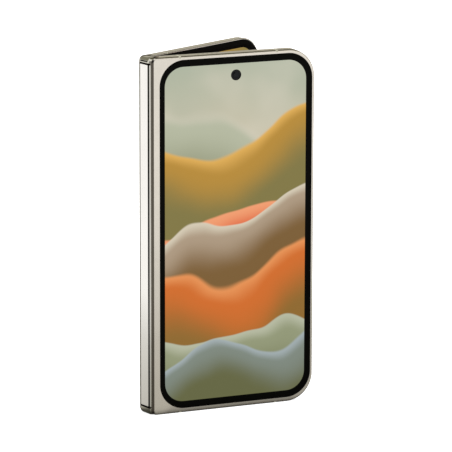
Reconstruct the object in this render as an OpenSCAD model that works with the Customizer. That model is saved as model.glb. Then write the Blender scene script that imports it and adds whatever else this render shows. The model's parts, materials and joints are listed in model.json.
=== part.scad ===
// Book-style folding phone: two slim halves joined by a geared spine, with a display outside
// the front half and a folding display inside.
// Origin: midway between the two fold axes, at the bottom end. +Z runs up along the hinge,
// +X towards the open edges, and the front half lies on the -Y side.
// Each half is drawn flat in a frame of its own: x from the fold line to the far rail,
// y from the inner display's side to the outer face, z along the hinge.

/* [Halves] */
// Height along the hinge
body_h = 155.2; // [150:0.1:162]
// Width of one half, from the fold line to the far rail
half_w = 75.1; // [72:0.1:80]
// Thickness of one half
half_t = 5.1; // [5.1:0.1:5.6]
// Radius of the far corners, seen from the front
corner_r = 12.2; // [8:0.1:14]
// Rounding of the rails' outer edges, across the outer face
edge_n = 0.8; // [0.4:0.1:0.9]
// Rounding of the rails' outer edges, through the thickness
edge_w = 1.4; // [0.4:0.1:2]
// Metal shown beside the outer glass at the far rail
rim_side = 1.35; // [1.1:0.05:2]
// Metal shown above and below the outer glass
rim_end = 1.55; // [1.3:0.05:2]
// Metal shown between the fold line and the outer glass
rim_fold = 3.85; // [3.5:0.05:6]

/* [Displays] */
// Width of the lit area of the outer display
active_w = 65.1; // [60:0.1:66]
// Height of the lit area of the outer display
active_h = 146.2; // [140:0.1:147]
// Black border between the glass edge on the hinge side and the lit area
border_fold = 2.3; // [2:0.1:3]
// Diameter of the round hole for the outer front camera
hole_d = 4.7; // [3:0.1:6]
// Drop of that hole's centre below the top of the glass
hole_drop = 7.65; // [6:0.05:10]

/* [Hinge] */
// Turn of each half away from closed, as drawn
fold_angle = 14.1; // [5:0.1:60]
// Distance from the centre plane to each fold axis
axis_u = 1.45; // [1.4:0.01:1.5]
// Depth of the fold axes below the display side when flat
axis_w = 1.3; // [1.25:0.01:1.3]
// Half the width of the spine cover
spine_half_w = 4.15; // [4:0.05:4.2]
// Depth of the spine cover's outer face when flat
spine_depth = 4.05; // [4:0.05:4.1]
// Rounding of the spine cover's long edges
spine_r = 1.45; // [1.4:0.05:1.6]
// Height of the end cap at the top of the spine
top_cap_h = 2.3; // [1.5:0.1:3]
// Height of the end cap at the foot of the spine
foot_cap_h = 3; // [1.5:0.1:4]

/* [Camera island] */
// Width of the raised camera island
island_w = 38; // [34:1:42]
// Height of the raised camera island
island_h = 35; // [32:1:40]
// How far the island stands above the back glass
island_rise = 2.3; // [1.5:0.1:3]

/* [Hidden] */
$fn = 48;

gap = 0.1;                                 // clearance round pieces that move or are fitted
fit = 0.05;                                // clearance round pieces that are bonded in
eps = 0.5;                                 // overrun of cuts past a face

// Levels through the thickness of a half, from the inner display's side
bezel_w = 0.02;                            // top of the inner bezel
panel_w = 0.25;                            // surface of the inner display
panel_t = 0.6;                             // thickness of the inner display
mid_w0 = 0.95;                             // mid plate, side facing the inner display
mid_w1 = 1.55;                             // mid plate, side facing the battery
wing_w0 = 2.15;                            // hinge wings
wing_w1 = 2.6;
glass_t = 0.55;                            // outer glass
oled_t = 0.3;                              // outer display, bonded under the glass
ledge_w = half_t - glass_t - oled_t;       // ledge that the display or back glass sits on
ledge_t = 0.4;

// Plan of a half
rail_n = 2.6;                              // width of the rails under the rim
pocket_n = 0.5;                            // rim round the inner display
inner_edge_r = 0.35;
inner_border = 2.4;                        // black bezel of the inner display
lip_x = 1.2;                               // rounding of the lip over the spine, across it
lip_w = 0.6;                               // and through its thickness
tongue_u = 1.95;                           // start of the rails' tongues over the spine caps
tongue_n = 1.15;
tongue_w = 0.85;
cheek_u = 1.5;                             // thin plates behind them, sliding in the caps
cheek_n = 1.25;
cheek_t = 0.35;
cheek_w = 2.8;
rail_x0 = 4.6;                             // where the top and bottom rails start
wall_x0 = 5.5;                             // wall between the spine and the battery space
wall_x1 = 6.3;
panel_x0 = 6;                              // where the stiff part of the inner display starts
ledge_n = 1;                               // ledge under the outer glass starts here
bay_n = 3.2;                               // walls of the battery and board space
bay_x0 = wall_x1 + 1;
bay_w0 = mid_w1 + 0.7;
pad_n = 2;                                 // mid plate's border, and the pad under the wings
pad_x1 = wall_x1 + 4.2;
slot_x1 = 13;                              // slots in the pad for the wings and the circuits
part_x0 = 11;                              // parts inside start here, clear of the slots' screws
part_z1 = body_h - 3.4;
part_w0 = mid_w1 + fit;                    // they stand on the mid plate
part_w1 = ledge_w - ledge_t - 0.2;         // and stop short of the ledge
board_w0 = mid_w1 + 0.75;                  // circuit boards stand off it
board_t = 0.6;
chip_w0 = mid_w1 + 1.25;
chip_w1 = mid_w1 + 2;
glass_r = 10.8;
glass_x1 = half_w - rim_side;
glass_z1 = body_h - rim_end;
active_x0 = rim_fold + border_fold;
active_z0 = (body_h - active_h) / 2;
oled_edge = 1.3;                           // unlit edge of the outer display
hole_x = (rim_fold + glass_x1) / 2;
hole_z = glass_z1 - hole_drop;

// Hinge
cavity_r = 3.38;                           // hollow of each half that swings over the spine
spine_wall = 0.5;
wall_top = 2.8;                            // depth of the spine cover's free edges
spine_x = axis_w - spine_depth;            // outer face of the spine cover
floor_x = spine_x + spine_wall;
rail_r0 = 1.3;                             // crescent rails, running round the fold axes
rail_r1 = 2;
rail_fit = 0.05;
rail_len = 5;
crescent_a0 = 25;                          // crescent's span, from the half's own plane
crescent_a1 = 150;
groove_a0 = 20;                            // span of the grooves that they run in
groove_a1 = 157;
root_a = 30;                               // end of a wing's plate, where its crescent begins
root_r = 1.5;
block_a = 32;                              // edge of the hinge blocks beside the wings
core_r = 1.22;
block_len = 14;
rear_rail_z = 1.1;                         // crescents lie side by side along a block
front_rail_z = 7.9;
block_z = [12, 46, body_h - 60, body_h - 26];
block_screw_z = block_len / 2;
wing_reach = 8.05;                         // wing's far edge from the fold axis
wing_screw_x = 8.3;
wing_screw_r = 0.6;
wing_head_r = 1.1;
wing_head_t = 0.35;
sync_len = 16;
sync_z = (body_h - sync_len) / 2;
flex_z = [30, body_h - 42];
flex_h = 12;

// Synchronising gears: two sectors on the fold axes and two pinions between them
gear_m = 0.13;
sector_teeth = 14;
pinion_teeth = 10;
sector_r = gear_m * sector_teeth / 2;
pinion_r = gear_m * pinion_teeth / 2;
pinion_x = -sqrt(pow(sector_r + pinion_r, 2) - pow(axis_u - pinion_r, 2));
gear_len = 4;
gear_z = sync_z + (sync_len - gear_len) / 2;
plate_len = 1.5;                           // end plates that hold the shafts
shaft_r = 0.45;
pin_r = 0.25;
pin_fit = 0.01;
turn_fit = 0.02;
// Tooth angles that put every pair in mesh as drawn
contact_a = atan2(pinion_r - axis_u, pinion_x) + 360;
rear_sector_a = contact_a;
pinion_pitch = 360 / pinion_teeth;
sector_pitch = 360 / sector_teeth;
rear_pinion_a = contact_a - 180 + pinion_pitch / 2;
front_pinion_a = 90 + pinion_pitch * (0.5 - (rear_pinion_a - 270) / pinion_pitch);
front_sector_a = -(contact_a - 180) + 180
    + sector_pitch * (0.5 - (front_pinion_a + contact_a - 180) / pinion_pitch);

// Rails of the halves
antenna_w = 1;
antenna_depth = 0.8;
top_breaks = [13.2, 57.4];
side_break_z = body_h - 40.3;
button_w = 2.4;                            // centre of the side buttons in the thickness
button_t = 1.9;
button_rise = 0.25;
power_z = 104;
power_len = 10;
volume_z = 82;
volume_len = 21;
flange_n0 = 1.3;                           // flange of the buttons, behind the rail's skin
flange_n1 = 2;
flange_over = 0.5;
port_x = 37.6;
port_half_w = 4.17;
port_half_t = 1.28;
port_w = 2.55;
sim_x0 = 41;
sim_len = 13;
sim_t = 1;
sim_w = 2.6;
sim_depth = 19;

// Camera island, in the rear half
island_x1 = half_w - 5.2;
island_z1 = body_h - 5.6;
island_x0 = island_x1 - island_w;
island_z0 = island_z1 - island_h;
island_r = 9;
island_edge = 0.7;
window_inset = 4.4;
window_h = 11;
window_r = window_h / 2;
window_w = island_w - 2 * window_inset;
window_z = [island_z1 - window_inset - window_r, island_z0 + window_inset + window_r];
window_x0 = island_x0 + window_inset;
lens_x = [window_x0 + window_r, window_x0 + window_w - window_r];
lens_r = 3.5;

// ---------------------------------------------------------------- shared shapes

function arc(cx, cy, r, a0, a1, n) =
    [for (i = [0:n]) let (a = a0 + (a1 - a0) * i / n) [cx + r * cos(a), cy + r * sin(a)]];

function round_rect(x0, y0, x1, y1, r, n = 10) = concat(
    arc(x1 - r, y1 - r, r, 0, 90, n), arc(x0 + r, y1 - r, r, 90, 180, n),
    arc(x0 + r, y0 + r, r, 180, 270, n), arc(x1 - r, y0 + r, r, 270, 360, n));

// Plan of a half set in from its rails, square on the fold side
function half_plan(inset, x0) = let (r = corner_r - inset) concat(
    [[x0, inset]],
    arc(half_w - corner_r, corner_r, r, -90, 0, 12),
    arc(half_w - corner_r, body_h - corner_r, r, 0, 90, 12),
    [[x0, body_h - inset]]);

function mirrored(points) = [for (i = [len(points) - 1:-1:0]) [points[i].x, -points[i].y]];

module rear_side()
    translate([0, axis_u, 0]) rotate([0, 0, fold_angle]) translate([-axis_u, -axis_w, 0])
        children();

module front_side() mirror([0, 1, 0]) rear_side() children();

// Extrudes a plan drawn in x and z through the thickness of a half
module slab(w0, w1) translate([0, w1, 0]) rotate([90, 0, 0]) linear_extrude(w1 - w0) children();

module plate(x0, z0, x1, z1, r, w0, w1) slab(w0, w1) polygon(round_rect(x0, z0, x1, z1, r));

module across(x, z, r, w0, w1) translate([x, w0, z]) rotate([-90, 0, 0]) cylinder(h = w1 - w0, r = r);

module brick(x0, w0, z0, x1, w1, z1) translate([x0, w0, z0]) cube([x1 - x0, w1 - w0, z1 - z0]);

// ---------------------------------------------------------------- frames of the halves

// A rail's rounded outer edge, by depth from the rail's skin and by thickness
rail_edge = [for (p = arc(0, 0, 1, 180, 90, 8))
    [edge_n * (1 + p.x), half_t - edge_w * (1 - p.y)]];

function rail_profile(depth) = concat(rail_edge,
    [[depth, half_t], [depth, 0]],
    arc(inner_edge_r, inner_edge_r, inner_edge_r, 270, 180, 4));

// Rails: one profile swept along the top, round the far corners and along the bottom
module rails(depth) {
    profile = rail_profile(depth);
    run = half_w - corner_r - rail_x0;
    translate([0, 0, corner_r]) linear_extrude(body_h - 2 * corner_r)
        polygon([for (p = profile) [half_w - p.x, p.y]]);
    for (top = [0, 1]) translate([0, 0, top * body_h]) mirror([0, 0, top]) {
        translate([half_w - corner_r, 0, corner_r]) rotate([-90, 0, 0])
            rotate_extrude(angle = 90, $fn = 96) polygon([for (p = profile) [corner_r - p.x, p.y]]);
        translate([rail_x0, 0, 0]) rotate([0, 90, 0]) linear_extrude(run)
            polygon([for (p = profile) [-p.x, p.y]]);
    }
}

// Lip over the spine and the wall behind it, rounded along the fold and at both ends
module hinge_wall() intersection() {
    linear_extrude(body_h) polygon(concat(
        [[wall_x1, half_t]],
        [for (p = arc(1, 0, 1, 90, 180, 8)) [lip_x * p.x, half_t - lip_w + lip_w * p.y]],
        [[0, wing_w1], [wall_x0, wing_w1], [wall_x0, mid_w0], [wall_x1, mid_w0]]));
    rotate([0, 90, 0]) linear_extrude(wall_x1 + eps) polygon(concat(
        [for (p = rail_edge) [-p.x, p.y]],
        [for (i = [len(rail_edge) - 1:-1:0]) [rail_edge[i].x - body_h, rail_edge[i].y]],
        [[-body_h, 0], [0, 0]]));
}

module half_frame() {
    hollowed_frame();
    rail_ends();
}

// Ends of the top and bottom rails: a tongue over each spine cap on the display side, and a
// thin plate that closes the hollow beside it and slides in the cap's slot
module rail_ends() for (top = [0, 1]) translate([0, 0, top * body_h]) mirror([0, 0, top]) {
    translate([tongue_u, 0, 0]) rotate([0, 90, 0]) linear_extrude(wall_x0 - gap - tongue_u)
        polygon([for (p = concat(arc(inner_edge_r, inner_edge_r, inner_edge_r, 270, 180, 4),
            [[0, tongue_w], [tongue_n, tongue_w], [tongue_n, 0]])) [-p.x, p.y]]);
    brick(cheek_u, mid_w0, cheek_n, rail_x0 + 0.4, cheek_w, cheek_n + cheek_t);
}

module hollowed_frame() difference() {
    union() {
        rails(rail_n);
        hinge_wall();
        slab(ledge_w - ledge_t, half_t) polygon(half_plan(ledge_n, rail_x0));
        slab(mid_w0, mid_w1) polygon(half_plan(pad_n, wall_x0));
        brick(wall_x0, mid_w0, pad_n, pad_x1, wing_w0, body_h - pad_n);
    }
    translate([axis_u, axis_w, -eps]) cylinder(h = body_h + 2 * eps, r = cavity_r, $fn = 96);
    plate(rim_fold - fit, rim_end - fit, glass_x1 + fit, glass_z1 + fit, glass_r, ledge_w,
        half_t + eps);
    plate(bay_x0, bay_n, half_w - bay_n, body_h - bay_n, glass_r - 2, bay_w0, half_t);
    display_pocket();
    brick(pocket_x0, 0, pocket_n, wall_x0, pocket_w1, body_h - pocket_n);
    for (z = block_z) pad_slot(z, block_len, wing_w0, wing_w1);
    pad_slot(sync_z, sync_len, wing_w0, wing_w1);
    for (z = flex_z) pad_slot(z, flex_h, mid_w1, wing_w0);
    for (z = wing_screw_places) {
        across(wing_screw_x, z, wing_screw_r + turn_fit, 0, wing_w0);
        across(wing_screw_x, z, wing_head_r + fit, 0, mid_w0 + wing_head_t);
    }
    antenna_slots();
}

module pad_slot(z, len, w0, w1) brick(pocket_x0, w0, z - gap, slot_x1, w1, z + len + gap);

module display_pocket() slab(-eps, mid_w0) polygon(half_plan(pocket_n, pocket_x0));
pocket_x0 = 4;
pocket_w1 = 1.6;

wing_screw_places = concat([for (z = block_z) each [z + 3, z + block_len - 3]],
    [sync_z + 3, sync_z + sync_len - 3]);

// ---------------------------------------------------------------- rails' plastic breaks

module break_slabs(side) {
    for (x = top_breaks) for (top = [0, 1])
        brick(x - antenna_w / 2, -eps, top ? body_h - antenna_depth : -eps, x + antenna_w / 2,
            half_t + eps, top ? body_h + eps : antenna_depth);
    if (side) brick(half_w - antenna_depth, -eps, side_break_z - antenna_w / 2, half_w + eps,
        half_t + eps, side_break_z + antenna_w / 2);
}

module antenna_slots() break_slabs(true);

module antenna_breaks() color("#c9c2b2") difference() {
    intersection() {
        rails(rail_n);
        break_slabs(true);
    }
    display_pocket();
}

module rear_antenna_breaks() rear_side() antenna_breaks();

module front_antenna_breaks() front_side() antenna_breaks();

// ---------------------------------------------------------------- spine

// One side of a channel section, from its free edge round the shoulder to the flat
function spine_side(r) = let (rise = wall_top - spine_depth + spine_r)
    arc(spine_x + spine_r, spine_half_w - spine_r, r, 90 + asin(rise / r), 180, 10);

function spine_outline(r) = concat(spine_side(r), mirrored(spine_side(r)));

module spine_cover() color("#e9e6dc")
    translate([0, 0, foot_cap_h + cap_gap])
        linear_extrude(body_h - foot_cap_h - top_cap_h - 2 * cap_gap) difference() {
            polygon(spine_outline(spine_r));
            polygon(concat([[0, spine_half_w - spine_wall]], spine_outline(spine_r - spine_wall),
                [[0, spine_wall - spine_half_w]]));
            // Grooves along both shoulders
            for (side = [0, 1]) mirror([0, side])
                translate([spine_x - eps, seam_y]) square([seam_t + eps, seam_w]);
        }
cap_gap = 0.65;
seam_y = spine_half_w - spine_r + 0.05;
seam_w = 0.75;
seam_t = 0.35;

module spine_end_caps() color("#dcd6c8") {
    end_cap(foot_cap_h, foot_cap_r);
    translate([0, 0, body_h]) mirror([0, 0, 1]) end_cap(top_cap_h, top_cap_r);
}
foot_cap_r = 2;
top_cap_r = 1.9;

// Cap closing one end of the spine, rounded round its rim, with a key that lies in the channel
// and a slot each side for the halves' plates
module end_cap(h, edge) {
    difference() {
        hull() for (a = [0:15:90]) let (rise = edge * (1 - sin(a)))
            translate([0, 0, rise]) linear_extrude(h - rise)
                offset(delta = -edge * (1 - cos(a))) polygon(cap_outline(edge));
        translate([cap_x, -cap_side, -eps]) cube([2 * edge, 2 * cap_side, h + 2 * eps]);
        for (side = [0, 1]) mirror([0, side, 0]) translate([slot_x, slot_y, cheek_n - gap / 2])
            cube([cap_x - slot_x + eps, cap_side, cheek_t + gap]);
    }
    translate([floor_x, -key_half_w, h - eps]) cube([key_x - floor_x, 2 * key_half_w, key_len + eps]);
}

// The spine's outline, carried on past the cap's flat side by the depth of its rounding
function cap_outline(over) = concat(spine_outline(spine_r), [[-0.3, -cap_side],
    [cap_x + over, gap - cap_side], [cap_x + over, cap_side - gap], [-0.3, cap_side]]);
cap_side = 4.6;
cap_x = 0.4;
slot_x = axis_w - cheek_w - gap / 2;
slot_y = axis_u - axis_w + mid_w0 - gap / 2;
key_half_w = 2.6;
key_x = 0.1;
key_len = 3;

// ---------------------------------------------------------------- hinge

// A point seen from the rear fold axis at angle a, where 0 is across the spine and 90 outward
function about_axis(r, a) = [-r * sin(a), axis_u + r * cos(a)];

function block_side() = concat(
    [[floor_x, block_half_w - block_chamfer], [floor_x + block_chamfer, block_half_w],
        [(axis_u - block_half_w) * tan(block_a), block_half_w]],
    [for (i = [0:6]) about_axis(core_r, block_a - i * (block_a + core_a) / 6)],
    [[block_x, axis_u + core_r * cos(core_a) - 0.05]]);
block_half_w = 3.3;
block_x = 0.55;
block_chamfer = 0.65;
core_a = 26;                               // end of the core round each fold axis

// Outline shared by the hinge blocks and the end plates of the gears
function block_outline() = let (side = block_side())
    concat(side, mirrored(side));

module axis_ring(z, h, r0, r1, a0, a1) translate([0, axis_u, z]) rotate([0, 0, 90 + a0])
    rotate_extrude(angle = a1 - a0) translate([r0, 0]) square([r1 - r0, h]);

module hinge_blocks() color("#8f8f8c") {
    for (z = block_z) difference() {
        translate([0, 0, z]) linear_extrude(block_len) polygon(block_outline());
        axis_ring(z + rear_rail_z - gap, rail_len + 2 * gap, rail_r0 - rail_fit,
            rail_r1 + rail_fit, groove_a0, groove_a1);
        mirror([0, 1, 0]) axis_ring(z + front_rail_z - gap, rail_len + 2 * gap,
            rail_r0 - rail_fit, rail_r1 + rail_fit, groove_a0, groove_a1);
        translate([0, 0, z + block_screw_z]) spine_screw(pin_fit);
    }
    // Plates at each end of the gears, joined by a thin base
    for (z = [sync_z, sync_z + sync_len - plate_len]) difference() {
        translate([0, 0, z]) linear_extrude(plate_len) polygon(block_outline());
        for (side = [-1, 1]) {
            translate([0, side * axis_u, z - eps])
                cylinder(h = plate_len + 2 * eps, r = shaft_r + pin_fit);
            translate([pinion_x, side * pinion_r, z - eps])
                cylinder(h = plate_len + 2 * eps, r = pin_r + pin_fit);
        }
        translate([0, 0, z + plate_len / 2]) spine_screw(pin_fit);
    }
}

// Screw of the spine, or the hole for it when grow is over 0
module spine_screw(grow) rotate([0, -90, 0]) let (over = grow > 0 ? eps : 0) {
    translate([0, 0, -block_x - over])
        cylinder(h = spine_head_t + grow + over, r = spine_head_r + grow);
    translate([0, 0, -block_x]) cylinder(h = block_x - floor_x, r = spine_screw_r + grow);
}
spine_screw_r = 0.3;
spine_head_r = 0.6;
spine_head_t = 0.35;

module spine_screws() color("#6f6f6d") {
    for (z = block_z) translate([0, 0, z + block_screw_z]) spine_screw(0);
    for (z = [sync_z, sync_z + sync_len - plate_len])
        translate([0, 0, z + plate_len / 2]) spine_screw(0);
}

// Shafts on the fold axes, headed at one end
module hinge_shafts() color("#b9b9b6") for (side = [-1, 1]) translate([0, side * axis_u, 0]) {
    translate([0, 0, sync_z]) cylinder(h = sync_len, r = shaft_r);
    translate([0, 0, sync_z - shaft_head_t]) cylinder(h = shaft_head_t, r = shaft_head_r);
}
shaft_head_t = 0.3;
shaft_head_r = 0.75;

module pinion_pins() color("#b9b9b6") for (side = [-1, 1])
    translate([pinion_x, side * pinion_r, sync_z]) cylinder(h = sync_len, r = pin_r);

// Spring washers that press on the sectors and hold the halves at any angle
module friction_washers() color("#a7a49b") for (side = [-1, 1])
    for (z0 = [sync_z + plate_len + 0.05, gear_z + gear_len + 0.1]) for (i = [0:8])
        translate([0, side * axis_u, z0 + i * 0.47 + (i % 2) * 0.38]) mirror([0, 0, i % 2])
            rotate_extrude() polygon([[0.48, 0], [0.74, 0.2], [0.74, 0.36], [0.48, 0.16]]);

// Teeth of straight-flanked gears, from phase a at every pitch within a0..a1
module teeth(r, pitch, a, a0, a1) for (k = [ceil((a0 - a) / pitch):floor((a1 - a) / pitch)])
    rotate([0, 0, a + k * pitch]) linear_extrude(gear_len) polygon([
        [r - 2.4 * gear_m, -0.16], [r - gear_m, -0.115], [r + 0.85 * gear_m, -0.05],
        [r + 0.85 * gear_m, 0.05], [r - gear_m, 0.115], [r - 2.4 * gear_m, 0.16]]);

module pinion(a) difference() {
    union() {
        cylinder(h = gear_len, r = pinion_r - 1.25 * gear_m);
        teeth(pinion_r, pinion_pitch, a, a, a + 359);
    }
    translate([0, 0, -eps]) cylinder(h = gear_len + 2 * eps, r = pin_r + turn_fit);
}

module sync_pinion_rear() color("#9a9a96")
    translate([pinion_x, pinion_r, gear_z]) pinion(rear_pinion_a);

module sync_pinion_front() color("#9a9a96")
    translate([pinion_x, -pinion_r, gear_z]) pinion(front_pinion_a);

// Root and plate of a wing, its end cut along a radius of the fold axis
module wing_plate(z, h) translate([axis_u, axis_w, z]) linear_extrude(h) polygon([
    [root_r * cos(root_a), root_r * sin(root_a)],
    [(wing_w1 - axis_w) / tan(root_a), wing_w1 - axis_w],
    [wing_reach, wing_w1 - axis_w], [wing_reach, wing_w0 - axis_w], [1.75, wing_w0 - axis_w]]);

module wings(rail_z) color("#8f8f8c") difference() {
    for (z = block_z) {
        wing_plate(z, block_len);
        translate([axis_u, axis_w, z + rail_z]) rotate([0, 0, crescent_a0])
            rotate_extrude(angle = crescent_a1 - crescent_a0)
                translate([rail_r0, 0]) square([rail_r1 - rail_r0, rail_len]);
    }
    wing_screw_holes();
}

module wing_screw_holes() for (z = wing_screw_places)
    across(wing_screw_x, z, wing_screw_r + pin_fit, wing_w0 - eps, wing_w1 + eps);

module rear_wings() rear_side() wings(rear_rail_z);

module front_wings() front_side() wings(front_rail_z);

// Wing plate with the sector gear that turns on the shaft
module sync_arm(a) color("#9a9a96") difference() {
    union() {
        wing_plate(sync_z, sync_len);
        translate([axis_u, axis_w, gear_z]) {
            rotate([0, 0, 40]) cylinder(h = gear_len, r = sector_r - 1.25 * gear_m);
            teeth(sector_r, sector_pitch, a, 106, 226);
            linear_extrude(gear_len) polygon([[0.3, 0], [1.2, 0.5], [1.9, 0.86], [2.3, 1.28],
                [0.2, 0.68]]);
        }
    }
    translate([axis_u, axis_w, gear_z - eps])
        cylinder(h = gear_len + 2 * eps, r = shaft_r + turn_fit);
    wing_screw_holes();
}

module rear_sync_arm() rear_side() sync_arm(rear_sector_a - fold_angle);

module front_sync_arm() front_side() sync_arm(-front_sector_a - fold_angle);

// Flat-headed screws through the mid plate into the wings
module wing_screws() color("#6f6f6d") for (z = wing_screw_places) {
    across(wing_screw_x, z, wing_head_r, mid_w0, mid_w0 + wing_head_t);
    across(wing_screw_x, z, wing_screw_r, mid_w0, wing_w1);
}

module rear_wing_screws() rear_side() wing_screws();

module front_wing_screws() front_side() wing_screws();

// ---------------------------------------------------------------- folding layers

// A point of a layer that lies at (x, w) when flat, turned part of the way with its half
function folded(x, w) = let (
    t = min(1, max(0, (x - fold_x0) / (panel_x0 - fold_x0))),
    a = 90 - (90 - fold_angle) * t * t * (3 - 2 * t),
    p = [x - axis_u, w - axis_w])
    [p.x * cos(a) - p.y * sin(a), axis_u + p.x * sin(a) + p.y * cos(a)];
fold_x0 = 0;
fold_steps = 18;

// Cross-section of a layer given by its face and back depths at every step from the fold
function layer(faces, backs, reach) = let (n = len(faces) - 1, back_n = len(backs) - 1) concat(
    [for (i = [n:-1:1]) folded(reach * i / n, faces[i])],
    [for (i = [0:n]) [folded(reach * i / n, faces[i]).x, -folded(reach * i / n, faces[i]).y]],
    [for (i = [back_n:-1:0])
        [folded(reach * i / back_n, backs[i]).x, -folded(reach * i / back_n, backs[i]).y]],
    [for (i = [1:back_n]) folded(reach * i / back_n, backs[i])]);

module fold_strip() color("#17120e") translate([0, 0, strip_z]) linear_extrude(body_h - 2 * strip_z)
    polygon(layer([for (i = [0:fold_steps]) panel_w], [for (i = [0:fold_steps]) panel_w + strip_t],
        panel_x0));
strip_z = 1.75;
strip_t = 0.3;

// Flexible circuits that pass through the spine in a slack loop
function flex_dip(i) = flex_w + flex_slack * (1 + cos(180 * min(1, i / (fold_steps * 0.75)))) / 2;
flex_w = 1.75;
flex_slack = 1;
flex_t = 0.15;

module hinge_flex() color("#a06a2c") for (z = flex_z) translate([0, 0, z]) linear_extrude(flex_h)
    polygon(layer([for (i = [0:fold_steps]) flex_dip(i)],
        [for (i = [0:fold_steps]) flex_dip(i) + flex_t], wing_screw_x));

// ---------------------------------------------------------------- inner display

module inner_panel() color("#0e0b09") slab(panel_w, panel_w + panel_t) 
    polygon(half_plan(pocket_n + gap, panel_x0));

module inner_display_rear() rear_side() inner_panel();

module inner_display_front() front_side() inner_panel();

module inner_bezel() color("#1a1714") slab(bezel_w, panel_w) difference() {
    polygon(half_plan(pocket_n + gap / 2, wall_x0));
    polygon(half_plan(pocket_n + inner_border, wall_x0 - eps));
}

module inner_bezel_rear() rear_side() inner_bezel();

module inner_bezel_front() front_side() inner_bezel();

// ---------------------------------------------------------------- rear half

module rear_frame() rear_side() color("#d9d3c5") difference() {
    half_frame();
    // Side buttons: a slot through the rail's skin and a wider pocket behind it
    button_pocket(power_z, power_len);
    button_pocket(volume_z, volume_len);
    // Charging port and the holes of the speaker and microphone, through the bottom rail
    slab_port(0.05, rail_n + eps);
    port_body(0.35, 0);
    for (i = [0:4]) hole_up(speaker_x + hole_pitch * i);
    for (i = [0:1]) hole_up(mic_x + hole_pitch * i);
    across(inner_camera_x, inner_camera_z, inner_camera_r + gap, 0, mid_w1 + eps);
    island_body(gap, bay_w0);
}
speaker_x = 45;
mic_x = 24;
hole_pitch = 2.2;
hole_r = 0.65;

module hole_up(x) translate([x, port_w, -eps]) cylinder(h = rail_n + 2 * eps, r = hole_r);

module button_pocket(z, len) {
    stadium_x(z, len, button_t, gap, half_w - flange_n0 - gap, half_w + eps);
    brick(half_w - rail_n - eps, button_w - button_t / 2 - flange_over - gap,
        z - flange_over - gap, half_w - flange_n0,
        button_w + button_t / 2 + flange_over + gap, z + len + flange_over + gap);
}

// A bar with round ends, standing out along x
module stadium_x(z, len, t, grow, x0, x1) translate([x0, 0, 0]) rotate([90, 0, 90])
    linear_extrude(x1 - x0) polygon(round_rect(button_w - t / 2 - grow, z - grow,
        button_w + t / 2 + grow, z + len + grow, t / 2 + grow - 0.01, 8));

module side_button(z, len) {
    stadium_x(z, len, button_t, 0, half_w - flange_n1 + 0.1, half_w + button_rise - 0.15);
    stadium_x(z, len, button_t, -0.15, half_w, half_w + button_rise);
    brick(half_w - flange_n1, button_w - button_t / 2 - flange_over, z - flange_over,
        half_w - flange_n0 - 0.3, button_w + button_t / 2 + flange_over, z + len + flange_over);
}

module power_button() rear_side() color("#d2ccbd") side_button(power_z, power_len);

// The rocker bears on a round rib at its middle
module volume_rocker() rear_side() color("#d2ccbd") {
    side_button(volume_z, volume_len);
    across(half_w - flange_n1, volume_z + volume_len / 2, 0.35, button_w - 0.8, button_w + 0.8);
}

// Dome switches on their strip, behind the buttons
module button_switches() rear_side() color("#b08d3c") {
    brick(half_w - rail_n - 0.35, button_w - 1.1, volume_z, half_w - rail_n - 0.1, button_w + 1.1,
        power_z + power_len);
    for (z = [power_z + power_len / 2, volume_z + 3.5, volume_z + volume_len - 3.5])
        translate([half_w - rail_n - 0.1, button_w, z]) rotate([0, 90, 0])
            cylinder(h = 0.25, r1 = 0.9, r2 = 0.5);
}

module back_glass() rear_side() color("#d3cfbf") difference() {
    plate(rim_fold, rim_end, glass_x1, glass_z1, glass_r, ledge_w, half_t);
    island_body(gap, 0);
}

// Outline of the camera island, reaching from depth w0 out through the back glass
module island_body(grow, w0) plate(island_x0 - grow, island_z0 - grow, island_x1 + grow,
    island_z1 + grow, island_r, w0, half_t + eps);

module camera_island() rear_side() color("#cfc9ba") difference() {
    union() {
        plate(island_x0, island_z0, island_x1, island_z1, island_r, ledge_w,
            half_t + island_rise - island_edge);
        // Rounded upper edge in three set-back steps
        for (i = [1:3]) let (a = 30 * i, inset = island_edge * (1 - cos(a)),
            top = half_t + island_rise - island_edge + island_edge * sin(a))
            plate(island_x0 + inset, island_z0 + inset, island_x1 - inset, island_z1 - inset,
                island_r - inset, ledge_w, top);
    }
    for (z = window_z) {
        window(z, 0.05, half_t + island_rise - 0.6, half_t + island_rise + eps);
        window(z, -0.9, 0, half_t + island_rise);
    }
}

module window(z, grow, w0, w1) plate(window_x0 - grow, z - window_r - grow,
    window_x0 + window_w + grow, z + window_r + grow, window_r + grow - 0.02, w0, w1);

module camera_windows() rear_side() color([0.05, 0.05, 0.06, 0.6]) for (z = window_z)
    window(z, 0, half_t + island_rise - 0.6, half_t + island_rise - 0.05);

// Three barrels behind the windows, on one carrier
module camera_barrels() rear_side() color("#26262a") difference() {
    union() {
        for (p = lens_places) {
            across(p.x, p.y, lens_r, mid_w1 + 0.9, half_t + island_rise - 0.65);
            brick(p.x - 4.2, mid_w1 + 0.8, p.y - 4.2, p.x + 4.2, ledge_w, p.y + 4.2);
        }
    }
    for (p = lens_places) across(p.x, p.y, glass_lens_r + fit, half_t, half_t + island_rise);
}
lens_places = [[lens_x[0], window_z[0]], [lens_x[1], window_z[0]], [lens_x[1], window_z[1]]];

module camera_lenses() rear_side() color("#1b2a3c") for (p = lens_places)
    translate([p.x, half_t, p.y]) rotate([-90, 0, 0]) rotate_extrude()
        polygon(concat([[0, 0], [glass_lens_r, 0]], [for (a = [0:15:90])
            [glass_lens_r * cos(a), glass_lens_h + glass_dome * sin(a)]]));
glass_lens_r = 2.55;
glass_lens_h = 0.9;
glass_dome = 0.5;

module flash_lens() rear_side() color("#efe9cf")
    across(lens_x[0], window_z[1], 1.9, half_t + 0.4, half_t + island_rise - 0.65);

module rear_battery() rear_side() color("#2b2d30") pouch(part_x0, 12, 43, 98);

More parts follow.
